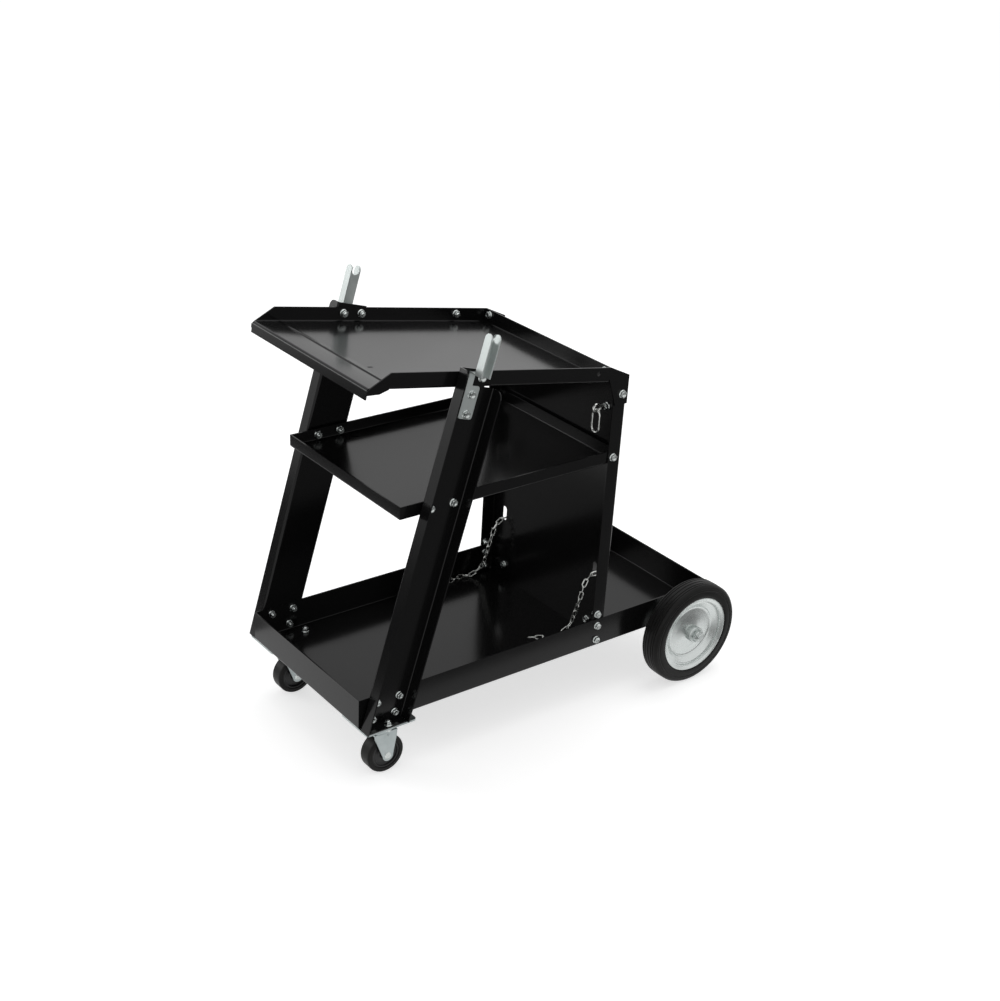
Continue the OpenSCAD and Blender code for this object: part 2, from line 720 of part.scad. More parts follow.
// Fork: lower race, crown and two tapered side plates with a bore for the rivet
module caster_fork() {
    tip_r = 9;
    front = -13;
    rear = 27;
    axle_z = caster_d / 2;
    caster_frame() difference() {
        union() {
            translate([0, 0, crown_top - 1]) cylinder(d1 = race_d - 8, d2 = race_d - 2, h = 4);
            translate([0, 0, crown_top + 3]) cylinder(d = race_d - 2, h = race_z - crown_top - 3 - run_clear);
            translate([front, -fork_gap - fork_t, crown_z])
                cube([rear - front, 2 * (fork_gap + fork_t), fork_t]);
            for (s = [-1, 1]) side(s) translate([0, fork_gap, 0]) slab(fork_t) {
                polygon([[front, crown_top], [rear, crown_top], [rear - 1, crown_z - 8],
                    [caster_trail + tip_r - 0.4, axle_z - 2], [caster_trail - tip_r + 0.4, axle_z - 2],
                    [front + 1, crown_z - 6]]);
                translate([caster_trail, axle_z]) circle(tip_r);
            }
        }
        cylinder(r = pin_r + bore_clear, h = far);
        translate([caster_trail, 0, axle_z]) outwards()
            cylinder(d = caster_axle_d + 2 * bore_clear, h = far, center = true);
        // pressed dimples below the crown
        for (s = [-1, 1]) side(s)
            translate([caster_trail, fork_gap + fork_t + 1.2, crown_z - 2]) sphere(2.6);
    }
}
module caster_fork_left() { color(zinc) cart() side(-1) caster_fork(); }
module caster_fork_right() { color(zinc) cart() caster_fork(); }

// Frame of a caster's wheel: z outwards along its axle
module caster_wheel_frame() {
    caster_frame() translate([caster_trail, 0, caster_d / 2]) outwards() children();
}

module caster_rivet() {
    outer = fork_gap + fork_t;
    caster_wheel_frame() {
        cylinder(d = caster_axle_d, h = 2 * outer + 2, center = true);
        for (s = [0, 1]) mirror([0, 0, s])
            translate([0, 0, outer]) cylinder(d1 = caster_axle_d + 4, d2 = caster_axle_d, h = 2);
    }
}
module caster_rivet_left() { color(zinc) cart() side(-1) caster_rivet(); }
module caster_rivet_right() { color(zinc) cart() caster_rivet(); }

caster_core_r = caster_d / 2 - 8;     // radius of the hub's rim, under the tyre

module caster_tyre() {
    edge = 3;
    half = caster_w / 2;
    r = caster_d / 2;
    caster_wheel_frame() rotate_extrude() {
        translate([caster_core_r, -half]) square([r - edge - caster_core_r, caster_w]);
        translate([caster_core_r, -half + edge]) square([r - caster_core_r, caster_w - 2 * edge]);
        for (s = [-1, 1]) translate([r - edge, s * (half - edge)]) circle(edge);
    }
}
module caster_tyre_left() { color(rubber) cart() side(-1) caster_tyre(); }
module caster_tyre_right() { color(rubber) cart() caster_tyre(); }

module caster_hub() {
    half = caster_w / 2;
    bore = caster_axle_d / 2 + bore_clear;
    boss = caster_axle_d / 2 + 4;
    caster_wheel_frame() rotate_extrude() {
        translate([caster_core_r - 3, -half + 1]) square([3, caster_w - 2]);
        translate([bore, -half + 6]) square([caster_core_r - bore, caster_w - 12]);
        translate([bore, -fork_gap + run_clear]) square([boss - bore, 2 * (fork_gap - run_clear)]);
    }
}
module caster_hub_left() { color(hub_black) cart() side(-1) caster_hub(); }
module caster_hub_right() { color(hub_black) cart() caster_hub(); }

// ---- Fasteners ----

plate_grip = caster_plate_t + sheet;
module caster_bolts() { color(zinc) cart() both() at_caster_bolts() bolt(plate_grip); }
module caster_nuts() { color(zinc) cart() both() at_caster_bolts() nut(plate_grip); }
module leg_bolts() { color(zinc) cart() both() at_leg_bolts() bolt(2 * sheet); }
module leg_nuts() { color(zinc) cart() both() at_leg_bolts() nut(2 * sheet); }

spacer_t = shelf_side_gap;            // fills the space between the leg and the shelf
shelf_leg_grip = 2 * sheet + spacer_t;
shelf_panel_grip = strip_y - shelf_y + sheet;
module shelf_bolts() {
    color(zinc) cart() both() {
        at_shelf_leg_bolts() bolt(shelf_leg_grip);
        at_shelf_panel_bolt() bolt(shelf_panel_grip);
    }
}
module shelf_nuts() {
    color(zinc) cart() both() {
        at_shelf_leg_bolts() nut(shelf_leg_grip);
        at_shelf_panel_bolt() nut(shelf_panel_grip);
    }
}
module shelf_spacers() {
    color(zinc) cart() both() at_shelf_leg_bolts() translate([0, 0, sheet]) difference() {
        cylinder(d = flange_d, h = spacer_t);
        bolt_hole();
    }
}

module top_bolts() {
    color(zinc) cart() {
        both() {
            at_top_bolts() bolt(2 * sheet);
            at_ear_bolt() bolt(2 * sheet);
            at_corner_bolt() bolt(2 * sheet);
        }
        at_wall_bolt() bolt(sheet);
    }
}
module top_nuts() {
    color(zinc) cart() {
        both() {
            at_top_bolts() nut(2 * sheet);
            at_ear_bolt() nut(2 * sheet);
            at_corner_bolt() nut(2 * sheet);
        }
        at_wall_bolt() nut(sheet);
    }
}

module hook_bolts() {
    color(zinc) cart() both() at_hook_bolts() translate([0, 0, -sheet]) bolt(2 * sheet);
}
module hook_nuts() {
    color(zinc) cart() both() at_hook_bolts() translate([0, 0, -sheet]) nut(2 * sheet);
}
module panel_bolts() {
    color(zinc) cart() both() {
        at_deck_panel_bolts() bolt(2 * sheet);
        at_strip_bolt() bolt(sheet);
        at_clip_bolt() bolt(2 * sheet);
    }
}
module panel_nuts() {
    color(zinc) cart() both() {
        at_deck_panel_bolts() nut(2 * sheet);
        at_strip_bolt() nut(sheet);
        at_clip_bolt() nut(2 * sheet);
    }
}

// ---- Eye bolts and snap hook ----

eye_wire = 4;
eye_r = eye_d / 2 + eye_wire / 2;     // radius of the eye's wire centre
eye_reach = 20;                       // distance of the eye's centre from the panel

module eye_bolt() {
    at_eye() {
        translate([0, 0, -eye_reach]) rotate([90, 0, 0]) rotate_extrude()
            translate([eye_r, 0]) circle(d = eye_wire);
        translate([0, 0, -eye_reach + eye_r]) cylinder(d = bolt_d, h = eye_reach - eye_r + sheet + nut_h + 3);
    }
}
module eye_bolt_left() { color(zinc) cart() side(-1) eye_bolt(); }
module eye_bolt_right() { color(zinc) cart() eye_bolt(); }
module eye_nuts() {
    color(zinc) cart() both() at_eye() {
        nut(sheet);
        mirror([0, 0, 1]) nut(0);
    }
}

// The snap hook hangs in the left eye, its loop square to the eye
snap_half = (snap_w - snap_wire) / 2;                       // wire centre from the hook's middle
snap_top = eye_z - eye_r + eye_wire / 2 + snap_wire / 2 + run_clear;   // wire centre at the top
snap_side = snap_l - snap_w;                                // length of the straight sides
snap_low = snap_top - snap_half - snap_side;                // centre of the lower bend
snap_pin_d = 1.6;
gate_foot = 2;                        // gate hinge above the lower bend's centre
gate_neck = 2.9;                      // gate hinge to the shoulder of its bar
nose_l = 3;                           // straight nose below the upper bend
gate_d = snap_wire - 0.8;

// Frame of the hook: x towards its closed side, y up, in the plane across the cart
module snap_frame() {
    translate([panel_front - eye_reach, -eye_y, snap_low]) rotate([90, 0, 90]) children();
}
// Half a wire ring on the side of +y, then a straight wire along y
module half_ring(r, d) { rotate_extrude(angle = 180) translate([r, 0]) circle(d = d, $fn = 24); }
module wire_y(d, l) { rotate([-90, 0, 0]) cylinder(d = d, h = l, $fn = 24); }

module snap_hook_body() {
    color(zinc) cart() snap_frame() difference() {
        union() {
            translate([0, snap_side, 0]) half_ring(snap_half, snap_wire);
            rotate([0, 0, 180]) half_ring(snap_half, snap_wire);
            translate([snap_half, 0, 0]) wire_y(snap_wire, snap_side);
            translate([-snap_half, snap_side - nose_l, 0]) wire_y(snap_wire, nose_l);
            translate([-snap_half, 0, 0]) wire_y(snap_wire, gate_foot + 2);
        }
        // slot in the stub that takes the gate's tongue, and the pin's hole
        translate([-snap_half - snap_wire, -0.6, -0.9]) cube([2 * snap_wire, gate_foot + 4, 1.8]);
        translate([-snap_half, gate_foot, -snap_wire]) cylinder(d = snap_pin_d + 0.1, h = 2 * snap_wire);
    }
}

module snap_hook_gate() {
    bar_l = snap_side - nose_l - run_clear - gate_foot - gate_neck;
    color(zinc) cart() snap_frame() difference() {
        union() {
            translate([-snap_half, gate_foot + gate_neck, 0]) wire_y(gate_d, bar_l);
            translate([-snap_half, gate_foot, -0.7]) cylinder(d = 3.4, h = 1.4);
            translate([-snap_half - 1, gate_foot, -0.7]) cube([2, gate_neck + 1, 1.4]);
        }
        translate([-snap_half, gate_foot, -5]) cylinder(d = snap_pin_d + 2 * bore_clear, h = 10);
    }
}

module snap_hook_pin() {
    color(zinc) cart() snap_frame() translate([-snap_half, gate_foot, 0])
        cylinder(d = snap_pin_d, h = snap_wire + 0.4, center = true);
}

// ---- Bottle chains ----

link_play = 0.6;
link_step = link_l - 2 * link_wire - link_play;   // each link advances the chain by this
// Path of the chain: one heading per link, [turn about Z, rise], from the start point
function unit(h) = [cos(h[1]) * cos(h[0]), cos(h[1]) * sin(h[0]), sin(h[1])];
function chain_point(start, headings, n) = n == 0 ? start
    : chain_point(start, headings, n - 1) + link_step * unit(headings[n - 1]);

module link() {
    r = (link_w - link_wire) / 2;
    run = link_l - link_w;
    for (s = [0, 180]) rotate([0, 0, s]) {
        translate([run / 2, 0, 0]) rotate([0, 0, -90]) rotate_extrude(angle = 180)
            translate([r, 0]) circle(d = link_wire, $fn = 16);
        translate([-run / 2, r, 0]) rotate([0, 90, 0]) cylinder(d = link_wire, h = run, $fn = 16);
    }
}

module chain(start, headings) {
    for (i = [0 : len(headings) - 1]) {
        h = headings[i];
        translate(chain_point(start, headings, i) + link_step / 2 * unit(h))
            rotate([0, -h[1], h[0]]) rotate([45 + 90 * i, 0, 0]) link();
    }
}

// A chain hangs over the lower edge of its slot, two links behind the panel, and
// drops to the bottom tray's floor with as many links as the height needs
link_off = (link_w - link_wire) / 2 * sin(45);                    // wire's offset in a link at 45 degrees
link_half = link_off + link_wire / 2;                             // half height of a link at 45 degrees
slot_seat = slot_w / 2 - link_wire / 2 - run_clear;               // wire's play in the slot's round end
chain_z = slot_z - (slot_l - slot_w) / 2 + link_off - sqrt(pow(slot_seat, 2) - pow(link_off, 2));
chain_floor = deck_z + sheet + link_half + run_clear;
over_edge = [[180, 70], [180, 35], [180, 0], [180, -35]];
function fall(path) = link_step * -sum([for (h = path) sin(h[1])]);
function sum(v, i = 0) = i < len(v) ? v[i] + sum(v, i + 1) : 0;

// Full route: over the edge, down with the given turns, round to the floor and along it.
// One link takes up the height that whole links leave, where its slope comes between the others
steep = 77;
function route(hang, lie) =
    let (last = hang[len(hang) - 1],
        drop = chain_z - chain_floor - fall([over_edge[3], [0, -62], [0, -60], [0, -30]]),
        n = floor(drop / (link_step * sin(steep))),
        slope = asin(drop / link_step - n * sin(steep)))
    concat(over_edge, [[hang[0], -62]],
        [for (i = [0 : n - 1]) [hang[min(i, len(hang) - 1)], -steep]],
        slope > 60 ? [[last, -slope]] : [], [[last, -60]],
        slope > 30 && slope <= 60 ? [[(last + lie[0]) / 2, -slope]] : [], [[lie[0], -30]],
        slope <= 30 ? [[lie[0], -slope]] : [],
        [for (turn = lie) [turn, 0]]);

// The third link lies through the panel, so the chain starts two links behind it
chain_start = [(panel_x + panel_front) / 2 + link_step / 2, slot_y, chain_z]
    - link_step * (unit(over_edge[0]) + unit(over_edge[1]));
right_route = route([165, 150, 135, 120, 120, 130, 145], [160, 180, 195, 185, 170]);
left_route = route([180, 195, 210, 225, 235, 225, 210], [195, 210, 215, 205]);
module chain_right() { color(zinc) cart() chain(chain_start, right_route); }
module chain_left() { color(zinc) cart() side(-1) chain(chain_start, left_route); }

bottom_tray();
middle_shelf();
top_tray();
back_panel();
panel_clips();
leg_left();
leg_right();
cable_hook_left();
cable_hook_right();
rear_axle();
axle_bracket_left();
axle_bracket_right();
axle_spacers();
axle_washers();
axle_nuts();
rear_tyre_left();
rear_tyre_right();
rear_rim_left();
rear_rim_right();
rear_bush_left();
rear_bush_right();
caster_plate_left();
caster_plate_right();
caster_kingpin_left();
caster_kingpin_right();
caster_fork_left();
caster_fork_right();
caster_rivet_left();
caster_rivet_right();
caster_tyre_left();
caster_tyre_right();
caster_hub_left();
caster_hub_right();
caster_bolts();
caster_nuts();
leg_bolts();
leg_nuts();
shelf_bolts();
shelf_nuts();
shelf_spacers();
top_bolts();
top_nuts();
hook_bolts();
hook_nuts();
panel_bolts();
panel_nuts();
eye_bolt_left();
eye_bolt_right();
eye_nuts();
snap_hook_body();
snap_hook_gate();
snap_hook_pin();
chain_left();
chain_right();
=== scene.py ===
"""Looks of a three-tier welding cart, dressed round its packed construction.

The construction gives every sheet, wheel and fastener its place and size. This script gives
them their finishes, softens sheared and folded edges, and puts finished wheels, bolts, nuts,
hooks and chain links on the seats of the plain ones.
"""

from __future__ import annotations

import json
import logging
import math
from dataclasses import dataclass
from enum import Enum

import bmesh
import bpy
import numpy as np
from mathutils import Matrix, Vector

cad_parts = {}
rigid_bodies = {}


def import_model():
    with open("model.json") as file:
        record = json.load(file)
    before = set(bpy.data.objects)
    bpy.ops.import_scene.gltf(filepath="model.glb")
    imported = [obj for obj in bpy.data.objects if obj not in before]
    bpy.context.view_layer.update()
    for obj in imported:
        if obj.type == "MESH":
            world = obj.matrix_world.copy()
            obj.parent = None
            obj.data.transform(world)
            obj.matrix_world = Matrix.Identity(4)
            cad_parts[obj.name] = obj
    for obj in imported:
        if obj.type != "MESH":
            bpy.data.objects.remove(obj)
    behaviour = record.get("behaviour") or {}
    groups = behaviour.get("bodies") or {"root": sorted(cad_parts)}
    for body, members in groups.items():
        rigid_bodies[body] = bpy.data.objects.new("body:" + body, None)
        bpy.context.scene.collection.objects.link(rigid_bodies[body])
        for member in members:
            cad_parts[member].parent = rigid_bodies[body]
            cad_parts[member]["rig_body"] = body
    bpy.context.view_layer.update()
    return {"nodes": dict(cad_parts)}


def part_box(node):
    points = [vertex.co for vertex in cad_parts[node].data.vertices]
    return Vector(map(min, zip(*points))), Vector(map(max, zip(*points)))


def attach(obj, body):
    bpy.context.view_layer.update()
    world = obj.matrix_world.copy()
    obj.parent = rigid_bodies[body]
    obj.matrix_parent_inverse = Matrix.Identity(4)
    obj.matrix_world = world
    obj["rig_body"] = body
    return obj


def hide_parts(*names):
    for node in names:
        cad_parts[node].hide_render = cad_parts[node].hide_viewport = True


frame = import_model()

MM = 0.001
JOIN_DIST = 2e-6                # metres under which loose triangles' corners are one vertex
LOG = logging.getLogger("welding_cart")
SIDES = ("left", "right")
Profile = list[tuple[float, float]]


class Slot(Enum):
    """Material slots of the record, one of which each finish holds."""

    POWDER = "powder_black"
    ZINC = "zinc"
    WHEEL = "wheel_zinc"
    CHAIN = "chain_zinc"
    TYRE = "tyre_rubber"
    HUB = "hub_plastic"


# ---- Shader node groups ----

PATCH_RANGE = (0.35, 0.65)      # values of the slow noise that give a finish's two ends


@dataclass
class NodeBoard:
    """A node tree with short ways to add, set and join nodes."""

    tree: bpy.types.NodeTree

    def add(self, kind: str, inputs: dict | None = None, **props: object) -> bpy.types.Node:
        """Adds one node.

        Args:
            kind: the node's bl_idname.
            inputs: values for its sockets, by name or number.
            props: properties set on the node itself.

        Returns:
            The new node.
        """
        node = self.tree.nodes.new(kind)
        for name, value in props.items():
            setattr(node, name, value)
        for key, value in (inputs or {}).items():
            node.inputs[key].default_value = value
        return node

    def join(self, source: bpy.types.NodeSocket, target: bpy.types.NodeSocket) -> None:
        """Links one socket to another."""
        self.tree.links.new(source, target)

    def maths(self, operation: str, first: object, second: object = None) -> bpy.types.NodeSocket:
        """Adds a Math node on sockets or numbers.

        Args:
            operation: the Math node's operation.
            first: socket or number for the first input.
            second: socket or number for the second input, if it has one.

        Returns:
            The node's output socket.
        """
        node = self.add("ShaderNodeMath", operation=operation)
        for slot, value in enumerate((first, second)):
            if isinstance(value, bpy.types.NodeSocket):
                self.join(value, node.inputs[slot])
            elif value is not None:
                node.inputs[slot].default_value = float(value)
        return node.outputs[0]

    def spread(self, value: bpy.types.NodeSocket, span: tuple[float, float],
               low: object, high: object) -> bpy.types.NodeSocket:
        """Maps a value from a span onto low and high, which are sockets or numbers.

        Args:
            value: the socket to map.
            span: the values that become low and high.
            low: socket or number for the lower end.
            high: socket or number for the upper end.

        Returns:
            The mapped value's socket.
        """
        node = self.add("ShaderNodeMapRange", {1: span[0], 2: span[1]})
        self.join(value, node.inputs[0])
        for slot, end in ((3, low), (4, high)):
            if isinstance(end, bpy.types.NodeSocket):
                self.join(end, node.inputs[slot])
            else:
                node.inputs[slot].default_value = end
        return node.outputs[0]


def new_group(name: str, inputs: dict[str, str], outputs: dict[str, str]
              ) -> tuple[bpy.types.NodeTree, NodeBoard, bpy.types.Node, bpy.types.Node]:
    """Starts a shader node group.

    Args:
        name: the group's name.
        inputs: socket kinds by input name.
        outputs: socket kinds by output name.

    Returns:
        The group, a board on it, its input node and its output node.
    """
    tree = bpy.data.node_groups.new(name, "ShaderNodeTree")
    for way, sockets in (("INPUT", inputs), ("OUTPUT", outputs)):
        for socket, kind in sockets.items():
            tree.interface.new_socket(socket, in_out=way, socket_type="NodeSocket" + kind)
    board = NodeBoard(tree)
    return tree, board, board.add("NodeGroupInput"), board.add("NodeGroupOutput")


def grain_group() -> bpy.types.NodeTree:
    """Builds the group for a fine grain with broad, faint patches of gloss.

    Returns:
        The group, which puts out a height, a roughness and a tone from 0 to 1.
    """
    tree, board, start, end = new_group(
        "Surface grain",
        {"Vector": "Vector", "Fine scale": "Float", "Patch scale": "Float",
         "Roughness": "Float", "Spread": "Float"},
        {"Height": "Float", "Roughness": "Float", "Tone": "Float"})
    fine = board.add("ShaderNodeTexNoise", {"Detail": 3.0, "Roughness": 0.55})
    patch = board.add("ShaderNodeTexNoise", {"Detail": 4.0, "Roughness": 0.6})
    for node, scale in ((fine, "Fine scale"), (patch, "Patch scale")):
        board.join(start.outputs["Vector"], node.inputs["Vector"])
        board.join(start.outputs[scale], node.inputs["Scale"])
    low = board.maths("SUBTRACT", start.outputs["Roughness"], start.outputs["Spread"])
    high = board.maths("ADD", start.outputs["Roughness"], start.outputs["Spread"])
    board.join(fine.outputs[0], end.inputs["Height"])
    board.join(board.spread(patch.outputs[0], PATCH_RANGE, low, high), end.inputs["Roughness"])
    board.join(patch.outputs[0], end.inputs["Tone"])
    return tree


def ring_group() -> bpy.types.NodeTree:
    """Builds the group for fine rings left by spinning or turning about Y.

    Returns:
        The group, which puts out a height from 0 to 1.
    """
    tree, board, start, end = new_group(
        "Turned rings", {"Vector": "Vector", "Rings per metre": "Float"}, {"Height": "Float"})
    parts = board.add("ShaderNodeSeparateXYZ")
    board.join(start.outputs["Vector"], parts.inputs[0])
    squares = [board.maths("MULTIPLY", parts.outputs[i], parts.outputs[i]) for i in (0, 2)]
    radius = board.maths("SQRT", board.maths("ADD", *squares))
    noise = board.add("ShaderNodeTexNoise", {"Scale": 1.0, "Detail": 2.0}, noise_dimensions="1D")
    along = board.maths("MULTIPLY", radius, start.outputs["Rings per metre"])
    board.join(along, noise.inputs["W"])
    board.join(noise.outputs[0], end.inputs["Height"])
    return tree


# ---- Finishes ----

RINGS_PER_METRE = 700.0         # how closely a spun piece is ringed
MIX_A, MIX_B, MIX_RESULT = 6, 7, 2      # colour sockets of a Mix node


@dataclass(frozen=True)
class Finish:
    """What every surface has: a colour, a gloss, a grain and its bump."""

    name: str
    slot: Slot
    colour: tuple[float, float, float]
    second: tuple[float, float, float]
    metallic: float = 0.0
    roughness: float = 0.4
    spread: float = 0.05
    specular: float = 0.5
    fine_scale: float = 500.0
    patch_scale: float = 12.0
    bump: float = 0.1
    bump_depth: float = 0.0002
    spun: float = 0.0

    def build(self, groups: dict[str, bpy.types.NodeTree],
              centre: Vector | None = None) -> bpy.types.Material:
        """Builds the material.

        Args:
            groups: the shared node groups by name.
            centre: the axis of a turned piece, about which its rings lie.

        Returns:
            The material.
        """
        suffix = "" if centre is None else f"_{round(centre.y * 1000)}_{round(centre.x * 1000)}"
        material = bpy.data.materials.new(self.name + suffix)
        material.use_nodes = True
        board = NodeBoard(material.node_tree)
        shader = material.node_tree.nodes["Principled BSDF"]
        shader.inputs["Metallic"].default_value = self.metallic
        shader.inputs["Specular IOR Level"].default_value = self.specular
        if self.spun:
            shader.inputs["Anisotropic"].default_value = self.spun
            along = board.add("ShaderNodeTangent", direction_type="RADIAL", axis="Y")
            board.join(along.outputs[0], shader.inputs["Tangent"])
        place = board.add("ShaderNodeTexCoord").outputs["Object"]
        grain = self.place_group(board, groups["grain"], place, {
            "Fine scale": self.fine_scale, "Patch scale": self.patch_scale,
            "Roughness": self.roughness, "Spread": self.spread})
        tint = board.add("ShaderNodeMix", data_type="RGBA")
        tint.inputs[MIX_A].default_value = (*self.colour, 1.0)
        tint.inputs[MIX_B].default_value = (*self.second, 1.0)
        board.join(board.spread(grain.outputs["Tone"], PATCH_RANGE, 0.0, 1.0), tint.inputs[0])
        colour, height = tint.outputs[MIX_RESULT], grain.outputs["Height"]
        if centre is not None:
            height = self.add_rings(board, groups["rings"], place, centre, height)
        bump = board.add("ShaderNodeBump", {"Strength": self.bump, "Distance": self.bump_depth})
        board.join(height, bump.inputs["Height"])
        board.join(colour, shader.inputs["Base Color"])
        board.join(grain.outputs["Roughness"], shader.inputs["Roughness"])
        board.join(bump.outputs[0], shader.inputs["Normal"])
        return material

    @staticmethod
    def place_group(board: NodeBoard, tree: bpy.types.NodeTree, place: bpy.types.NodeSocket,
                    values: dict[str, float]) -> bpy.types.Node:
        """Adds a shared group with its own values.

        Args:
            board: the material's board.
            tree: the group.
            place: the coordinates that it reads.
            values: numbers for its inputs.

        Returns:
            The group's node.
        """
        node = board.add("ShaderNodeGroup", node_tree=tree)
        board.join(place, node.inputs["Vector"])
        for name, value in values.items():
            node.inputs[name].default_value = value
        return node

    def add_rings(self, board: NodeBoard, tree: bpy.types.NodeTree, place: bpy.types.NodeSocket,
                  centre: Vector, height: bpy.types.NodeSocket) -> bpy.types.NodeSocket:
        """Adds turned rings to the height.

        Args:
            board: the material's board.
            tree: the rings' group.
            place: Object coordinates.
            centre: a point on the piece's axis.
            height: the height so far.

        Returns:
            The new height's socket.
        """
        mapping = board.add("ShaderNodeMapping", {"Location": tuple(-c for c in centre)})
        board.join(place, mapping.inputs["Vector"])
        rings = self.place_group(board, tree, mapping.outputs[0],
                                 {"Rings per metre": RINGS_PER_METRE})
        return board.maths("ADD", height, rings.outputs["Height"])


POWDER = Finish("powder_coat", Slot.POWDER, (0.0048, 0.0048, 0.0050), (0.0056, 0.0056, 0.0058),
                roughness=0.17, spread=0.012, specular=0.2, fine_scale=900.0, patch_scale=7.0,
                bump=0.008, bump_depth=0.0001)
ZINC = Finish("zinc_plate", Slot.ZINC, (0.50, 0.53, 0.52), (0.58, 0.61, 0.60), metallic=1.0,
              roughness=0.26, spread=0.03, fine_scale=900.0, patch_scale=60.0, bump=0.02)
# Outermost caster nuts: a real blue-green tint, with a colour well below plain zinc that is painted
# shade for the shadow inside the leg's channel.
BLUE_TINT_AND_SHADE_ZINC = Finish("blue_tint_and_painted_shade_zinc", Slot.ZINC, (0.20, 0.30, 0.31), (0.25, 0.36, 0.37), metallic=1.0,
                    roughness=0.30, spread=0.03, fine_scale=900.0, patch_scale=60.0, bump=0.02)
HOOK_ZINC = Finish("hook_zinc", Slot.ZINC, (0.48, 0.52, 0.51), (0.54, 0.58, 0.57), metallic=0.45,
                   roughness=0.34, spread=0.03, fine_scale=800.0, patch_scale=30.0, bump=0.02)
FORK_ZINC = Finish("fork_zinc", Slot.ZINC, (0.36, 0.40, 0.40), (0.42, 0.46, 0.46), metallic=1.0,
                   roughness=0.36, spread=0.03, fine_scale=700.0, patch_scale=60.0, bump=0.03)
RIM_ZINC = Finish("rim_zinc", Slot.WHEEL, (0.56, 0.59, 0.58), (0.62, 0.65, 0.64), metallic=1.0,
                  roughness=0.27, spread=0.02, fine_scale=600.0, patch_scale=20.0, bump=0.02,
                  bump_depth=0.0001, spun=0.6)
LINK_ZINC = Finish("link_zinc", Slot.CHAIN, (0.55, 0.56, 0.54), (0.68, 0.69, 0.67), metallic=1.0,
                   roughness=0.24, spread=0.04, fine_scale=1200.0, patch_scale=150.0, bump=0.03)
TYRE_RUBBER = Finish("tyre_rubber", Slot.TYRE, (0.0080, 0.0078, 0.0076), (0.0105, 0.0102, 0.0098),
                     roughness=0.42, spread=0.05, specular=0.14, fine_scale=900.0, patch_scale=25.0,
                     bump=0.06)
HUB_PLASTIC = Finish("hub_plastic", Slot.HUB, (0.007, 0.007, 0.0075), (0.010, 0.010, 0.010),
                     roughness=0.38, spread=0.05, specular=0.35, fine_scale=800.0,
                     patch_scale=30.0, bump=0.08)


class Paintshop:
    """Builds each finish once and puts it on pieces."""

    def __init__(self) -> None:
        """Makes the shared groups."""
        self.groups = {"grain": grain_group(), "rings": ring_group()}
        self.made: dict[tuple, bpy.types.Material] = {}

    def material(self, finish: Finish, centre: Vector | None = None) -> bpy.types.Material:
        """Gives a finish's material.

        Args:
            finish: which finish.
            centre: a turned piece's axis, if its rings are to show.

        Returns:
            The material, made on first use.
        """
        key = (finish.name, None if centre is None else tuple(round(c, 4) for c in centre))
        if key not in self.made:
            self.made[key] = finish.build(self.groups, centre)
        return self.made[key]

    def coat(self, piece: bpy.types.Object, finish: Finish, centre: Vector | None = None) -> None:
        """Puts one finish on the whole piece."""
        piece.data.materials.clear()
        piece.data.materials.append(self.material(finish, centre))

    def coat_node(self, node: str, finish: Finish) -> None:
        """Puts a finish in each material slot of a CAD node."""
        piece = frame["nodes"][node]
        if not piece.material_slots:
            piece.data.materials.append(self.material(finish))
        for slot in piece.material_slots:
            slot.material = self.material(finish)


# ---- Mesh helpers ----


def body_of(node: str) -> str:
    """Names the body that a CAD node belongs to."""
    return frame["nodes"][node]["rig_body"]


def install(name: str, mesh: bmesh.types.BMesh, finish: Finish, shop: Paintshop,
            nodes: list[str], smooth: float = 35.0,
            centre: Vector | None = None) -> bpy.types.Object:
    """Turns a finished bmesh into a piece that stands for CAD nodes of one body.

    Args:
        name: the piece's name.
        mesh: the shape, in metres, in place.
        finish: its finish.
        shop: where its material comes from.
        nodes: the CAD nodes that it replaces.
        smooth: angle in degrees under which edges shade smoothly.
        centre: a turned piece's axis.

    Returns:
        The piece.
    """
    data = bpy.data.meshes.new(name)
    mesh.to_mesh(data)
    mesh.free()
    data.shade_smooth()
    data.set_sharp_from_angle(angle=math.radians(smooth))
    piece = bpy.data.objects.new(name, data)
    bpy.context.scene.collection.objects.link(piece)
    shop.coat(piece, finish, centre)
    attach(piece, body_of(nodes[0]))
    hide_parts(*nodes)
    LOG.info("%s: %d faces", name, len(data.polygons))
    return piece


def merged_copy(node: str) -> bmesh.types.BMesh:
    """Copies a CAD node's mesh with its loose triangles joined.

    Args:
        node: the CAD node.

    Returns:
        The merged copy.
    """
    mesh = bmesh.new()
    mesh.from_mesh(frame["nodes"][node].data)
    bmesh.ops.remove_doubles(mesh, verts=mesh.verts, dist=JOIN_DIST)
    return mesh


def eased(points: Profile, radius: float, steps: int = 3, closed: bool = False) -> Profile:
    """Rounds the corners of an outline with short curves.

    Args:
        points: the outline.
        radius: how far from each corner its curve starts.
        steps: points on each curve, less one.
        closed: whether the last point joins the first.

    Returns:
        The rounded outline.
    """
    count = len(points)
    rounded: Profile = []
    for i, point in enumerate(points):
        if not closed and i in (0, count - 1):
            rounded.append(point)
            continue
        corner = Vector(point)
        before, after = Vector(points[i - 1]), Vector(points[(i + 1) % count])
        reach = min(radius, (before - corner).length * 0.45)
        start = corner + (before - corner).normalized() * reach
        end = corner + (after - corner).normalized() * min(radius, (after - corner).length * 0.45)
        for step in range(steps + 1):
            t = step / steps
            rounded.append(tuple(start * (1 - t) ** 2 + corner * 2 * t * (1 - t) + end * t * t))
    return rounded


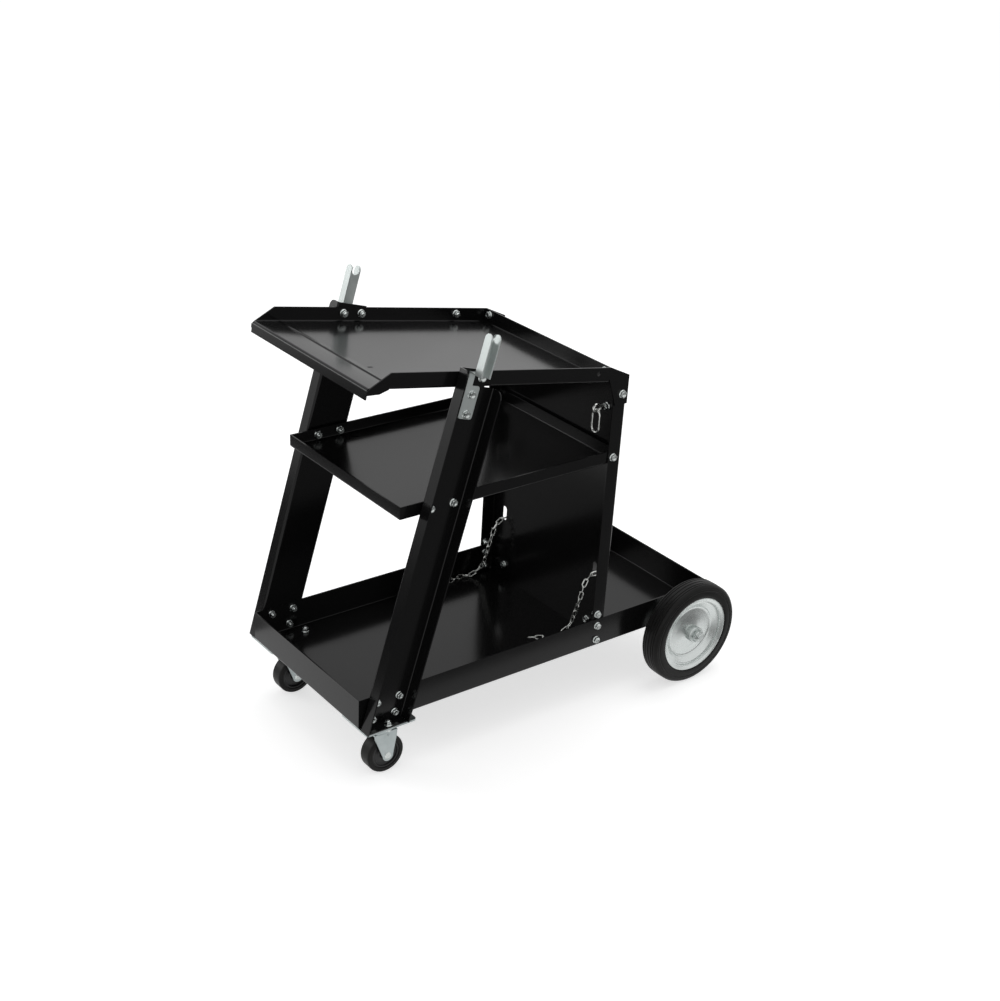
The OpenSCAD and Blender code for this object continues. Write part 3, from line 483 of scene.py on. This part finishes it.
def spun(mesh: bmesh.types.BMesh, outline: Profile, steps: int, closed: bool = True
         ) -> list[bmesh.types.BMVert]:
    """Spins an outline of radius and height, in millimetres, a full turn about Z.

    Args:
        mesh: the bmesh to add to.
        outline: radius and height of each point.
        steps: parts of the turn.
        closed: whether the last point joins the first.

    Returns:
        The new vertices, in metres.
    """
    old = set(mesh.verts)
    ring = [mesh.verts.new((r * MM, 0.0, z * MM)) for r, z in outline]
    pairs = list(zip(ring, ring[1:])) + ([(ring[-1], ring[0])] if closed else [])
    edges = [mesh.edges.new(pair) for pair in pairs]
    bmesh.ops.spin(mesh, geom=ring + edges, cent=(0, 0, 0), axis=(0, 0, 1),
                   angle=2 * math.pi, steps=steps, use_merge=True, use_duplicate=False)
    fresh = [v for v in mesh.verts if v not in old]
    bmesh.ops.remove_doubles(mesh, verts=fresh, dist=1e-7)
    return [v for v in mesh.verts if v not in old]


def finish_normals(mesh: bmesh.types.BMesh) -> bmesh.types.BMesh:
    """Turns every face of a closed mesh outwards."""
    bmesh.ops.recalc_face_normals(mesh, faces=mesh.faces)
    return mesh


def place_on_axis(centre: Vector, direction: Vector) -> Matrix:
    """Gives the matrix that puts the origin at centre and Z along direction."""
    turn = direction.to_track_quat("Z", "Y").to_matrix().to_4x4()
    return Matrix.Translation(centre) @ turn


@dataclass
class Island:
    """One separate solid of a CAD node: its points and its faces' areas and normals."""

    points: np.ndarray
    normals: np.ndarray
    areas: np.ndarray

    @property
    def centre(self) -> Vector:
        """Middle of the solid's vertices' spread along X, Y and Z."""
        return Vector((self.points.min(0) + self.points.max(0)) / 2)

    def flat_axis(self) -> Vector:
        """Finds the direction that most of the flat area faces, which is a bolt's axis.

        Returns:
            A unit vector, its sign not settled.
        """
        along = np.abs(self.normals @ self.normals.T) > 0.9999
        return Vector(self.normals[int(np.argmax(along @ self.areas))]).normalized()

    def spread_axes(self) -> np.ndarray:
        """Gives the directions of least to greatest spread, as columns."""
        return np.linalg.eigh(np.cov((self.points - self.points.mean(0)).T))[1]


def islands(node: str) -> list[Island]:
    """Splits a CAD node into its separate solids.

    Args:
        node: the CAD node.

    Returns:
        The solids, in the order of their lowest vertex numbers.
    """
    mesh = merged_copy(node)
    left, found = set(mesh.verts), []
    while left:
        seed = min(left, key=lambda v: v.index)
        group, edge = {seed}, [seed]
        while edge:
            for link in edge.pop().link_edges:
                for vert in link.verts:
                    if vert not in group:
                        group.add(vert)
                        edge.append(vert)
        left -= group
        faces = {face for vert in group for face in vert.link_faces}
        faces = [face for face in faces if face.calc_area() > 1e-12]
        found.append(Island(np.array([v.co for v in group]), np.array([f.normal for f in faces]),
                            np.array([f.calc_area() for f in faces])))
    mesh.free()
    return found


# ---- Sheet steel ----


@dataclass
class SheetSteel:
    """Folded sheets: copies of the CAD sheets with sheared and folded edges softened."""

    shop: Paintshop
    edge: float = 0.7
    segments: int = 3
    coated: tuple[str, ...] = (
        "bottom_tray", "middle_shelf", "top_tray", "back_panel", "panel_clips", "leg_left",
        "leg_right", "axle_bracket_left", "axle_bracket_right")

    def soften(self, node: str, finish: Finish, edge: float | None = None) -> bpy.types.Object:
        """Copies a node and rounds its sharp edges with a bevel.

        Args:
            node: the CAD node.
            finish: its finish.
            edge: width of the bevel in millimetres.

        Returns:
            The piece.
        """
        mesh = merged_copy(node)
        bmesh.ops.dissolve_limit(mesh, angle_limit=math.radians(0.5), verts=mesh.verts,
                                 edges=mesh.edges, use_dissolve_boundaries=False)
        piece = install(node + "_finished", mesh, finish, self.shop, [node], smooth=30.0)
        bevel = piece.modifiers.new("edge", "BEVEL")
        bevel.width = (edge or self.edge) * MM
        bevel.segments = self.segments
        bevel.limit_method = "ANGLE"
        bevel.angle_limit = math.radians(40.0)
        bevel.harden_normals = True
        return piece

    def build(self) -> None:
        """Dresses every coated sheet."""
        for node in self.coated:
            self.soften(node, POWDER)


# ---- Fasteners ----


@dataclass
class Fasteners:
    """Flanged hexagon bolts and nuts, set on the plain ones' seats."""

    shop: Paintshop
    across: float = 9.6
    flange_r: float = 6.2
    plain_r: float = 6.75
    thread_r: float = 3.0
    pitch: float = 1.0
    head: float = 5.0
    nut: float = 6.0
    steps: int = 36
    rim_share: float = 0.97
    bolt_share: float = 0.4
    turn_step: float = 0.9
    bolts: tuple[str, ...] = ("leg_bolts", "shelf_bolts", "top_bolts", "hook_bolts",
                              "panel_bolts", "caster_bolts")
    nuts: tuple[str, ...] = ("leg_nuts", "shelf_nuts", "top_nuts", "hook_nuts", "panel_nuts",
                             "caster_nuts", "eye_nuts")

    def flatten(self, verts: list[bmesh.types.BMVert], low: float, high: float,
                across: float) -> None:
        """Presses the round between two heights into a hexagon.

        Args:
            verts: the vertices of one spun solid about Z.
            low: lower height in millimetres.
            high: upper height in millimetres.
            across: width across flats in millimetres.
        """
        for vert in verts:
            radius = math.hypot(vert.co.x, vert.co.y)
            if radius < 1e-6 or not low * MM <= vert.co.z <= high * MM:
                continue
            turn = math.atan2(vert.co.y, vert.co.x) % (math.pi / 3) - math.pi / 6
            limit = across * MM / 2 / math.cos(turn)
            if radius > limit:
                vert.co.x *= limit / radius
                vert.co.y *= limit / radius

    def collar(self) -> Profile:
        """Gives the flange's outline from its seat up to the hexagon, seat at height 0."""
        return [(self.flange_r - 0.15, 0.0), (self.flange_r, 0.15), (self.flange_r, 0.6),
                (self.flange_r - 0.3, 0.85), (self.across * 0.575, 1.5)]

    def add_bolt(self, mesh: bmesh.types.BMesh, length: float) -> list[bmesh.types.BMVert]:
        """Adds a bolt with its seat at z = 0 and its shank upwards.

        Args:
            mesh: the bmesh to add to.
            length: length of the shank in millimetres.

        Returns:
            The bolt's vertices.
        """
        corner = self.across / 2 / math.cos(math.pi / 6)
        top = self.head
        outline = [(0.0, -top + 0.7), (2.4, -top + 0.6), (3.1, -top + 0.1), (3.6, -top),
                   (self.across / 2 - 0.2, -top), (corner, -top + 0.55), (corner, -1.6)]
        outline += [(r, -z) for r, z in reversed(self.collar())]
        outline.append((self.thread_r, 0.0))
        turns = int(length - 1.0)
        for i in range(turns):
            outline += [(self.thread_r, length - turns - 1.0 + i * self.pitch),
                        (self.thread_r - 0.35, length - turns - 0.5 + i * self.pitch)]
        outline += [(self.thread_r, length - 1.0), (self.thread_r - 0.7, length), (0.0, length)]
        verts = spun(mesh, outline, self.steps, closed=False)
        self.flatten(verts, -top - 0.1, -1.55, self.across)
        return verts

    def add_nut(self, mesh: bmesh.types.BMesh) -> list[bmesh.types.BMVert]:
        """Adds a nut with its flange's seat at z = 0 and its hexagon above.

        Args:
            mesh: the bmesh to add to.

        Returns:
            The nut's vertices.
        """
        corner = self.across / 2 / math.cos(math.pi / 6)
        outline = [(self.thread_r + 0.06, 0.0), *self.collar(), (corner, 1.6),
                   (corner, self.nut - 0.55), (self.across / 2 - 0.2, self.nut),
                   (self.thread_r + 0.6, self.nut), (self.thread_r + 0.06, self.nut - 0.5)]
        verts = spun(mesh, outline, self.steps)
        self.flatten(verts, 1.55, self.nut + 0.1, self.across)
        return verts

    def seat(self, solid: Island) -> tuple[Matrix, float]:
        """Finds where a plain bolt or nut sits.

        Args:
            solid: the plain bolt or nut.

        Returns:
            The matrix for its seat, with Z pointing from the flange to the far end, and the
            distance along Z from the seat to the far end, in millimetres.
        """
        axis = solid.flat_axis()
        along = solid.points @ np.array(axis)
        middle = solid.centre
        offsets = solid.points - np.array(middle)
        radial = np.linalg.norm(offsets - np.outer(offsets @ np.array(axis), axis), axis=1)
        rim = along[radial > self.plain_r * MM * self.rim_share]
        low_gap, high_gap = rim.min() - along.min(), along.max() - rim.max()
        if low_gap > high_gap:
            axis, along, rim = -axis, -along, -rim
            low_gap, high_gap = high_gap, low_gap
        bolt = low_gap > self.head * MM * self.bolt_share
        face = rim.max() if bolt else rim.min()
        centre = middle + axis * (float(face) - middle.dot(axis))
        return place_on_axis(centre, axis), (float(along.max()) - float(face)) / MM

    def build(self) -> None:
        """Sets a finished bolt or nut on every plain one."""
        for node in self.bolts + self.nuts:
            mesh = bmesh.new()
            solids = islands(node)
            outer = max(abs(solid.centre.y) for solid in solids) - 5 * MM
            for i, solid in enumerate(solids):
                matrix, length = self.seat(solid)
                verts = self.add_nut(mesh) if node in self.nuts else self.add_bolt(mesh, length)
                turn = Matrix.Rotation(i * self.turn_step, 4, "Z")
                bmesh.ops.transform(mesh, matrix=matrix @ turn, verts=verts)
                # The outermost caster nuts take the second material: a blue tint, darkened as
                # painted shade.
                if node == "caster_nuts" and abs(solid.centre.y) > outer:
                    for face in {face for vert in verts for face in vert.link_faces}:
                        face.material_index = 1
            piece = install(node + "_finished", finish_normals(mesh), ZINC, self.shop, [node])
            if node == "caster_nuts":
                piece.data.materials.append(self.shop.material(BLUE_TINT_AND_SHADE_ZINC))


# ---- Wheels ----


@dataclass
class RearWheel:
    """A rear wheel: ribbed solid tyre on a spun zinc rim, all turned about Y."""

    shop: Paintshop
    side: str
    tyre_r: float = 89.0
    half: float = 18.0
    bed_r: float = 58.0
    seat_r: float = 60.0
    rim_r: float = 66.0
    groove: float = 1.5
    steps: int = 120
    grooves: tuple[float, ...] = (0.0, 6.5, 11.0)

    @property
    def matrix(self) -> Matrix:
        """Frame of the wheel, Z outwards along the axle."""
        low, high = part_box("rear_tyre_" + self.side)
        outwards = Vector((0, -1 if self.side == "left" else 1, 0))
        return place_on_axis((low + high) / 2, outwards)

    def tread(self) -> Profile:
        """Gives the tread's outline from the outer shoulder to the inner one.

        Returns:
            Radius and height points, grooves included.
        """
        line: Profile = []
        places = sorted({s * g for g in self.grooves for s in (-1, 1)}, reverse=True)
        for place in places:
            crown = self.tyre_r - 0.004 * place * place
            line += [(crown - 0.1, place + 1.25), (crown - 0.3, place + 0.95),
                     (crown - self.groove, place + 0.55), (crown - self.groove, place - 0.55),
                     (crown - 0.3, place - 0.95), (crown - 0.1, place - 1.25)]
        return line

    def wall(self) -> Profile:
        """Gives the outer side wall's outline from the bead up to the shoulder."""
        half = self.half
        return [(self.seat_r, half - 5.2), (self.rim_r + 0.2, half - 1.9),
                (self.rim_r + 1.4, half - 0.7), (self.rim_r + 3.4, half - 0.1),
                (self.rim_r + 10.6, half), (self.rim_r + 11.3, half - 0.7),
                (self.rim_r + 12.4, half - 0.7), (self.rim_r + 13.1, half - 0.1),
                (self.rim_r + 15.2, half - 0.3), (self.rim_r + 15.6, half - 0.8),
                (self.rim_r + 16.3, half - 0.8), (self.rim_r + 16.8, half - 0.5),
                (self.tyre_r - 3.6, half - 1.5), (self.tyre_r - 1.5, half - 3.4),
                (self.tyre_r - 0.5, half - 5.0)]

    def build_tyre(self) -> None:
        """Spins the tyre."""
        wall = self.wall()
        outline = wall + self.tread() + [(r, -z) for r, z in reversed(wall)]
        mesh = bmesh.new()
        spun(mesh, eased(outline, 0.35, 2, closed=True), self.steps)
        node = "rear_tyre_" + self.side
        bmesh.ops.transform(mesh, matrix=self.matrix, verts=mesh.verts)
        install(node + "_finished", finish_normals(mesh), TYRE_RUBBER, self.shop, [node], 60.0,
                self.matrix.translation)

    def build_rim(self) -> None:
        """Spins the lips and bed, the dished disc and the hub tube."""
        bed = self.half - 5.0
        lip = [(self.seat_r, bed), (self.rim_r - 5, bed), (self.rim_r - 1.2, bed + 2.4),
               (self.rim_r, bed + 3.4), (self.rim_r - 0.3, bed + 4.5),
               (self.rim_r - 1.7, bed + 4.4), (self.rim_r - 6.5, bed + 1.8),
               (self.bed_r, bed + 1.6)]
        shell = lip + [(r, -z) for r, z in reversed(lip)]
        disc = [(self.bed_r + 0.4, bed - 0.6), (self.bed_r - 3, bed - 1.2), (48.0, 7.4),
                (46.2, 6.2), (45.2, 4.4), (42.0, 3.4), (30.0, 4.2), (20.0, 5.8), (14.6, 7.2),
                (10.4, 7.6),
                (10.4, 5.6), (14.4, 5.2), (20.0, 3.8), (30.0, 2.2), (42.0, 1.4), (46.4, 2.2),
                (48.6, 5.4), (self.bed_r - 2, bed - 3.2), (self.bed_r + 0.4, bed - 2.6)]
        low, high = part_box("rear_bush_" + self.side)
        ends = sorted((c - self.matrix.translation.y) / MM for c in (low.y, high.y))
        if self.side == "left":
            ends = [-ends[1], -ends[0]]
        tube = [(10.36, ends[0]), (12.9, ends[0]), (13.3, ends[0] + 0.5), (13.3, ends[1] - 0.5),
                (12.9, ends[1]), (10.36, ends[1])]
        mesh = bmesh.new()
        spun(mesh, eased(shell, 0.9, 3, closed=True), self.steps)
        spun(mesh, eased(disc, 1.6, 4, closed=True), self.steps)
        spun(mesh, tube, self.steps // 2)
        node = "rear_rim_" + self.side
        bmesh.ops.transform(mesh, matrix=self.matrix, verts=mesh.verts)
        install(node + "_finished", finish_normals(mesh), RIM_ZINC, self.shop, [node], 40.0,
                self.matrix.translation)

    def build(self) -> None:
        """Builds tyre and rim, and finishes the bush."""
        self.build_tyre()
        self.build_rim()
        self.shop.coat_node("rear_bush_" + self.side, HUB_PLASTIC)


@dataclass
class Axle:
    """Axle rod, spacers, washers and the two end nuts."""

    shop: Paintshop
    across: float = 19.0
    bore_r: float = 6.4
    height: float = 8.0

    def build(self) -> None:
        """Dresses the axle's hardware."""
        sheet = SheetSteel(self.shop, edge=0.3)
        for node in ("rear_axle", "axle_spacers", "axle_washers"):
            sheet.soften(node, ZINC)
        tools = Fasteners(self.shop, across=self.across)
        corner = self.across / 2 / math.cos(math.pi / 6)
        flat = self.across / 2 - 0.3
        top = self.height
        outline = [(self.bore_r, 0.0), (flat, 0.0), (corner, 0.8), (corner, top - 3.0),
                   (flat, top - 2.0), (8.6, top - 1.9), (8.4, top - 0.4), (7.9, top),
                   (self.bore_r, top)]
        mesh = bmesh.new()
        for solid in islands("axle_nuts"):
            side = math.copysign(1.0, solid.centre.y)
            verts = spun(mesh, outline, 48)
            tools.flatten(verts, -0.1, top - 1.95, self.across)
            seat = solid.centre.copy()
            seat.y -= side * top / 2 * MM
            bmesh.ops.transform(mesh, matrix=place_on_axis(seat, Vector((0, side, 0))), verts=verts)
        install("axle_nuts_finished", finish_normals(mesh), ZINC, self.shop, ["axle_nuts"], 30.0)


@dataclass
class Caster:
    """A swivel caster: zinc plate and fork, riveted axle, black wheel."""

    shop: Paintshop
    side: str
    tyre_r: float = 31.75
    half: float = 12.0
    core_r: float = 23.75
    steps: int = 72

    @property
    def matrix(self) -> Matrix:
        """Frame of the wheel, Z outwards along its axle."""
        low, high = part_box("caster_tyre_" + self.side)
        outwards = Vector((0, -1 if self.side == "left" else 1, 0))
        return place_on_axis((low + high) / 2, outwards)

    def build_wheel(self) -> None:
        """Spins the tyre and the hub."""
        half, rim = self.half, self.core_r
        wall = [(rim, half - 0.4), (rim + 0.6, half), (rim + 3.4, half), (rim + 4.0, half - 0.5),
                (self.tyre_r - 2.8, half - 0.2), (self.tyre_r - 0.9, half - 0.9),
                (self.tyre_r, half - 3.0)]
        tyre = wall + [(self.tyre_r, half - 5.0), (self.tyre_r, 5.0 - half)]
        tyre += [(r, -z) for r, z in reversed(wall)]
        mesh = bmesh.new()
        spun(mesh, eased(tyre, 1.3, 4, closed=True), self.steps)
        self.fit(mesh, "caster_tyre_", TYRE_RUBBER)
        web = [(4.1, 14.0), (8.0, 14.0), (8.5, 13.2), (9.0, 7.4), (12.0, 6.6), (17.5, 6.4),
               (rim - 3.4, 8.0), (rim - 2.6, half - 1.2), (rim - 0.1, half - 1.0)]
        hub = web + [(r, -z) for r, z in reversed(web)]
        mesh = bmesh.new()
        spun(mesh, eased(hub, 0.8, 3, closed=True), self.steps)
        self.fit(mesh, "caster_hub_", HUB_PLASTIC)

    def fit(self, mesh: bmesh.types.BMesh, node: str, finish: Finish) -> None:
        """Puts a spun shape on the caster's axle in place of a node."""
        bmesh.ops.transform(mesh, matrix=self.matrix, verts=mesh.verts)
        install(node + self.side + "_finished", finish_normals(mesh), finish, self.shop,
                [node + self.side], 50.0)

    def build(self) -> None:
        """Builds the wheel and softens the pressed parts."""
        self.build_wheel()
        sheet = SheetSteel(self.shop, edge=0.3)
        for node in ("caster_plate_", "caster_fork_"):
            sheet.soften(node + self.side, FORK_ZINC)
        for node in ("caster_rivet_", "caster_kingpin_"):
            sheet.soften(node + self.side, ZINC)


# ---- Hooks, eyes and chains ----


@dataclass
class Hooks:
    """Cable hooks, eye bolts and the snap hook."""

    shop: Paintshop

    def build(self) -> None:
        """Dresses each hook and eye."""
        sheet = SheetSteel(self.shop, edge=0.35)
        for side in SIDES:
            sheet.soften("cable_hook_" + side, HOOK_ZINC)
            sheet.soften("eye_bolt_" + side, LINK_ZINC, 0.2)
        for part in ("body", "gate", "pin"):
            sheet.soften("snap_hook_" + part, LINK_ZINC, 0.15)
        sheet.soften("shelf_spacers", ZINC, 0.25)


@dataclass
class BottleChain:
    """A chain of closed wire links laid where the construction's links lie."""

    shop: Paintshop
    side: str
    wire: float = 2.0
    length: float = 16.0
    width: float = 8.0
    sides: int = 10

    def add_link(self, mesh: bmesh.types.BMesh) -> list[bmesh.types.BMVert]:
        """Adds one link, long along X and lying in XY, by sweeping its wire round.

        Args:
            mesh: the bmesh to add to.

        Returns:
            The link's vertices.
        """
        old = set(mesh.verts)
        bend = (self.width - self.wire) / 2 * MM
        run = (self.length - self.width) * MM
        made = bmesh.ops.create_circle(mesh, segments=self.sides, radius=self.wire / 2 * MM)
        ring = made["verts"]
        turn = Matrix.Translation((-run / 2, -bend, 0)) @ Matrix.Rotation(math.pi / 2, 4, "Y")
        bmesh.ops.transform(mesh, matrix=turn, verts=ring)
        geometry: list = ring + list({e for v in ring for e in v.link_edges})
        for way in (1, -1):
            moved = bmesh.ops.extrude_edge_only(
                mesh, edges=[g for g in geometry if isinstance(g, bmesh.types.BMEdge)])["geom"]
            bmesh.ops.translate(mesh, vec=(way * run, 0, 0),
                                verts=[g for g in moved if isinstance(g, bmesh.types.BMVert)])
            edges = [g for g in moved if isinstance(g, bmesh.types.BMEdge)]
            points = [g for g in moved if isinstance(g, bmesh.types.BMVert)]
            geometry = bmesh.ops.spin(mesh, geom=points + edges, cent=(way * run / 2, 0, 0),
                                      axis=(0, 0, 1), angle=math.pi, steps=10)["geom_last"]
        fresh = [v for v in mesh.verts if v not in old]
        bmesh.ops.remove_doubles(mesh, verts=fresh, dist=1e-6)
        return [v for v in mesh.verts if v not in old]

    def build(self) -> None:
        """Lays a link on each plain one."""
        node = "chain_" + self.side
        mesh = bmesh.new()
        for solid in islands(node):
            axes = solid.spread_axes()
            long, flat = Vector(axes[:, 2]), Vector(axes[:, 0])
            turn = Matrix((long, flat.cross(long), flat)).transposed().to_4x4()
            verts = self.add_link(mesh)
            bmesh.ops.transform(mesh, matrix=Matrix.Translation(solid.centre) @ turn, verts=verts)
        install(node + "_finished", finish_normals(mesh), LINK_ZINC, self.shop, [node], 60.0)


# ---- Studio ----


@dataclass
class Studio:
    """Pale floor, soft light and the camera."""

    position: tuple[float, float, float] = (-1.3823, -1.7281, 1.3701)
    yaw: float = 37.634
    pitch: float = 29.136
    roll: float = 2.940
    focal_px: float = 1549.7
    principal: tuple[float, float] = (470.0, 600.0)
    side_flag_tone: float = 0.35
    front_flag_tone: float = 0.12
    floor_half: float = 30.0
    floor_drop: float = 0.0005
    flag_height: float = 0.001
    frame_px: tuple[int, int] = (1000, 1001)
    sensor: float = 36.0

    def build_camera(self) -> None:
        """Makes the camera and sets it as the scene's."""
        data = bpy.data.cameras.new("camera")
        camera = bpy.data.objects.new("camera", data)
        bpy.context.scene.collection.objects.link(camera)
        yaw, pitch, roll = (math.radians(a) for a in (self.yaw, self.pitch, self.roll))
        ahead = Vector((math.sin(yaw) * math.cos(pitch), math.cos(yaw) * math.cos(pitch),
                        -math.sin(pitch)))
        level = Vector((math.cos(yaw), -math.sin(yaw), 0.0))
        up = level.cross(ahead)
        right = level * math.cos(roll) + up * math.sin(roll)
        turn = Matrix((right, right.cross(ahead), -ahead)).transposed()
        camera.matrix_world = Matrix.Translation(self.position) @ turn.to_4x4()
        long_side = max(self.frame_px)
        data.sensor_width = self.sensor
        data.lens = self.focal_px * self.sensor / long_side
        data.shift_x = (self.frame_px[0] / 2 - self.principal[0]) / long_side
        data.shift_y = (self.principal[1] - self.frame_px[1] / 2) / long_side
        bpy.context.scene.camera = camera

    @staticmethod
    def seen(board: NodeBoard) -> bpy.types.NodeSocket:
        """Gives 1 for camera, glossy and transmission rays and 0 for the rest."""
        path = board.add("ShaderNodeLightPath")
        shiny = board.maths("MAXIMUM", path.outputs["Is Glossy Ray"],
                            path.outputs["Is Transmission Ray"])
        return board.maths("MAXIMUM", path.outputs["Is Camera Ray"], shiny)

    def build_world(self, ambient: float = 0.5) -> None:
        """Makes the world: white where it is seen or mirrored, softer as a lamp.

        Args:
            ambient: strength with which it lights matt surfaces.
        """
        world = bpy.data.worlds.new("studio")
        world.use_nodes = True
        bpy.context.scene.world = world
        board = NodeBoard(world.node_tree)
        backdrop = world.node_tree.nodes["Background"]
        backdrop.inputs["Color"].default_value = (1.0, 1.0, 1.0, 1.0)
        strength = board.spread(self.seen(board), (0.0, 1.0), ambient, 1.0)
        board.join(strength, backdrop.inputs["Strength"])

    def build_floor(self, tone: float = 0.8, lift: float = 0.62) -> None:
        """Makes the pale floor, which keeps the shadow.

        Args:
            tone: the floor's colour.
            lift: how much lighter it looks to the camera and in reflections.
        """
        mesh = bmesh.new()
        bmesh.ops.create_grid(mesh, x_segments=8, y_segments=8, size=self.floor_half)
        data = bpy.data.meshes.new("floor")
        mesh.to_mesh(data)
        mesh.free()
        floor = bpy.data.objects.new("floor", data)
        bpy.context.scene.collection.objects.link(floor)
        floor.location.z = -self.floor_drop
        material = bpy.data.materials.new("pale_floor")
        material.use_nodes = True
        board = NodeBoard(material.node_tree)
        shader = material.node_tree.nodes["Principled BSDF"]
        shader.inputs["Base Color"].default_value = (tone, tone, tone, 1.0)
        shader.inputs["Roughness"].default_value = 0.9
        shader.inputs["Specular IOR Level"].default_value = 0.0
        glow = board.add("ShaderNodeEmission")
        board.join(board.maths("MULTIPLY", self.seen(board), lift), glow.inputs["Strength"])
        both = board.add("ShaderNodeAddShader")
        board.join(shader.outputs[0], both.inputs[0])
        board.join(glow.outputs[0], both.inputs[1])
        board.join(both.outputs[0], material.node_tree.nodes["Material Output"].inputs["Surface"])
        data.materials.append(material)

    @staticmethod
    def add_softbox(name: str, place: tuple[float, float, float], aim: tuple[float, float, float],
                    size: tuple[float, float], power: float) -> None:
        """Adds a rectangular soft lamp.

        Args:
            name: the lamp's name.
            place: its position in metres.
            aim: the point that it faces.
            size: its width and height in metres.
            power: its power in watts.
        """
        data = bpy.data.lights.new(name, "AREA")
        data.shape = "RECTANGLE"
        data.size, data.size_y = size
        data.energy = power
        lamp = bpy.data.objects.new(name, data)
        bpy.context.scene.collection.objects.link(lamp)
        lamp.visible_camera = False
        away = Vector(place) - Vector(aim)
        lamp.matrix_world = place_on_axis(Vector(place), away)

    def add_flag(self, name: str, low: tuple[float, float], high: tuple[float, float],
                 tone: float) -> None:
        """Adds a flat card on the floor that is seen only in reflections.

        Args:
            name: the card's name.
            low: its lowest X and Y in metres.
            high: its highest X and Y in metres.
            tone: its grey.
        """
        mesh = bmesh.new()
        corners = ((low[0], low[1]), (high[0], low[1]), high, (low[0], high[1]))
        mesh.faces.new([mesh.verts.new((x, y, self.flag_height)) for x, y in corners])
        data = bpy.data.meshes.new(name)
        mesh.to_mesh(data)
        mesh.free()
        card = bpy.data.objects.new(name, data)
        bpy.context.scene.collection.objects.link(card)
        material = bpy.data.materials.new(name)
        material.use_nodes = True
        shader = material.node_tree.nodes["Principled BSDF"]
        shader.inputs["Base Color"].default_value = (tone, tone, tone, 1.0)
        shader.inputs["Specular IOR Level"].default_value = 0.0
        data.materials.append(material)
        for way in ("camera", "diffuse", "transmission", "shadow", "volume_scatter"):
            setattr(card, "visible_" + way, False)

    def build(self) -> None:
        """Sets up the whole studio."""
        self.build_camera()
        self.build_world()
        self.build_floor()
        self.add_softbox("top_light", (0.4, 0.2, 2.8), (0.0, 0.0, 0.3), (2.2, 2.2), 20.0)
        self.add_softbox("side_light", (-2.2, 2.4, 1.15), (0.0, 0.0, 0.6), (1.3, 1.1), 14.0)
        self.add_flag("near_flag", (-0.5, -2.2), (1.6, -0.32), self.side_flag_tone)
        self.add_flag("far_flag", (-0.5, 0.32), (1.6, 2.2), self.side_flag_tone)
        self.add_flag("front_flag", (-2.8, 0.35), (-0.7, 2.8), self.front_flag_tone)


def main() -> None:
    """Builds the studio and dresses every sub-assembly in order."""
    logging.basicConfig(level=logging.INFO, format="%(name)s: %(message)s")
    bpy.context.scene.view_settings.view_transform = "Standard"
    Studio().build()
    shop = Paintshop()
    parts = [SheetSteel(shop), Fasteners(shop), Axle(shop), Hooks(shop)]
    parts += [kind(shop, side) for side in SIDES for kind in (RearWheel, Caster, BottleChain)]
    for part in parts:
        part.build()


if __name__ == "__main__":
    main()
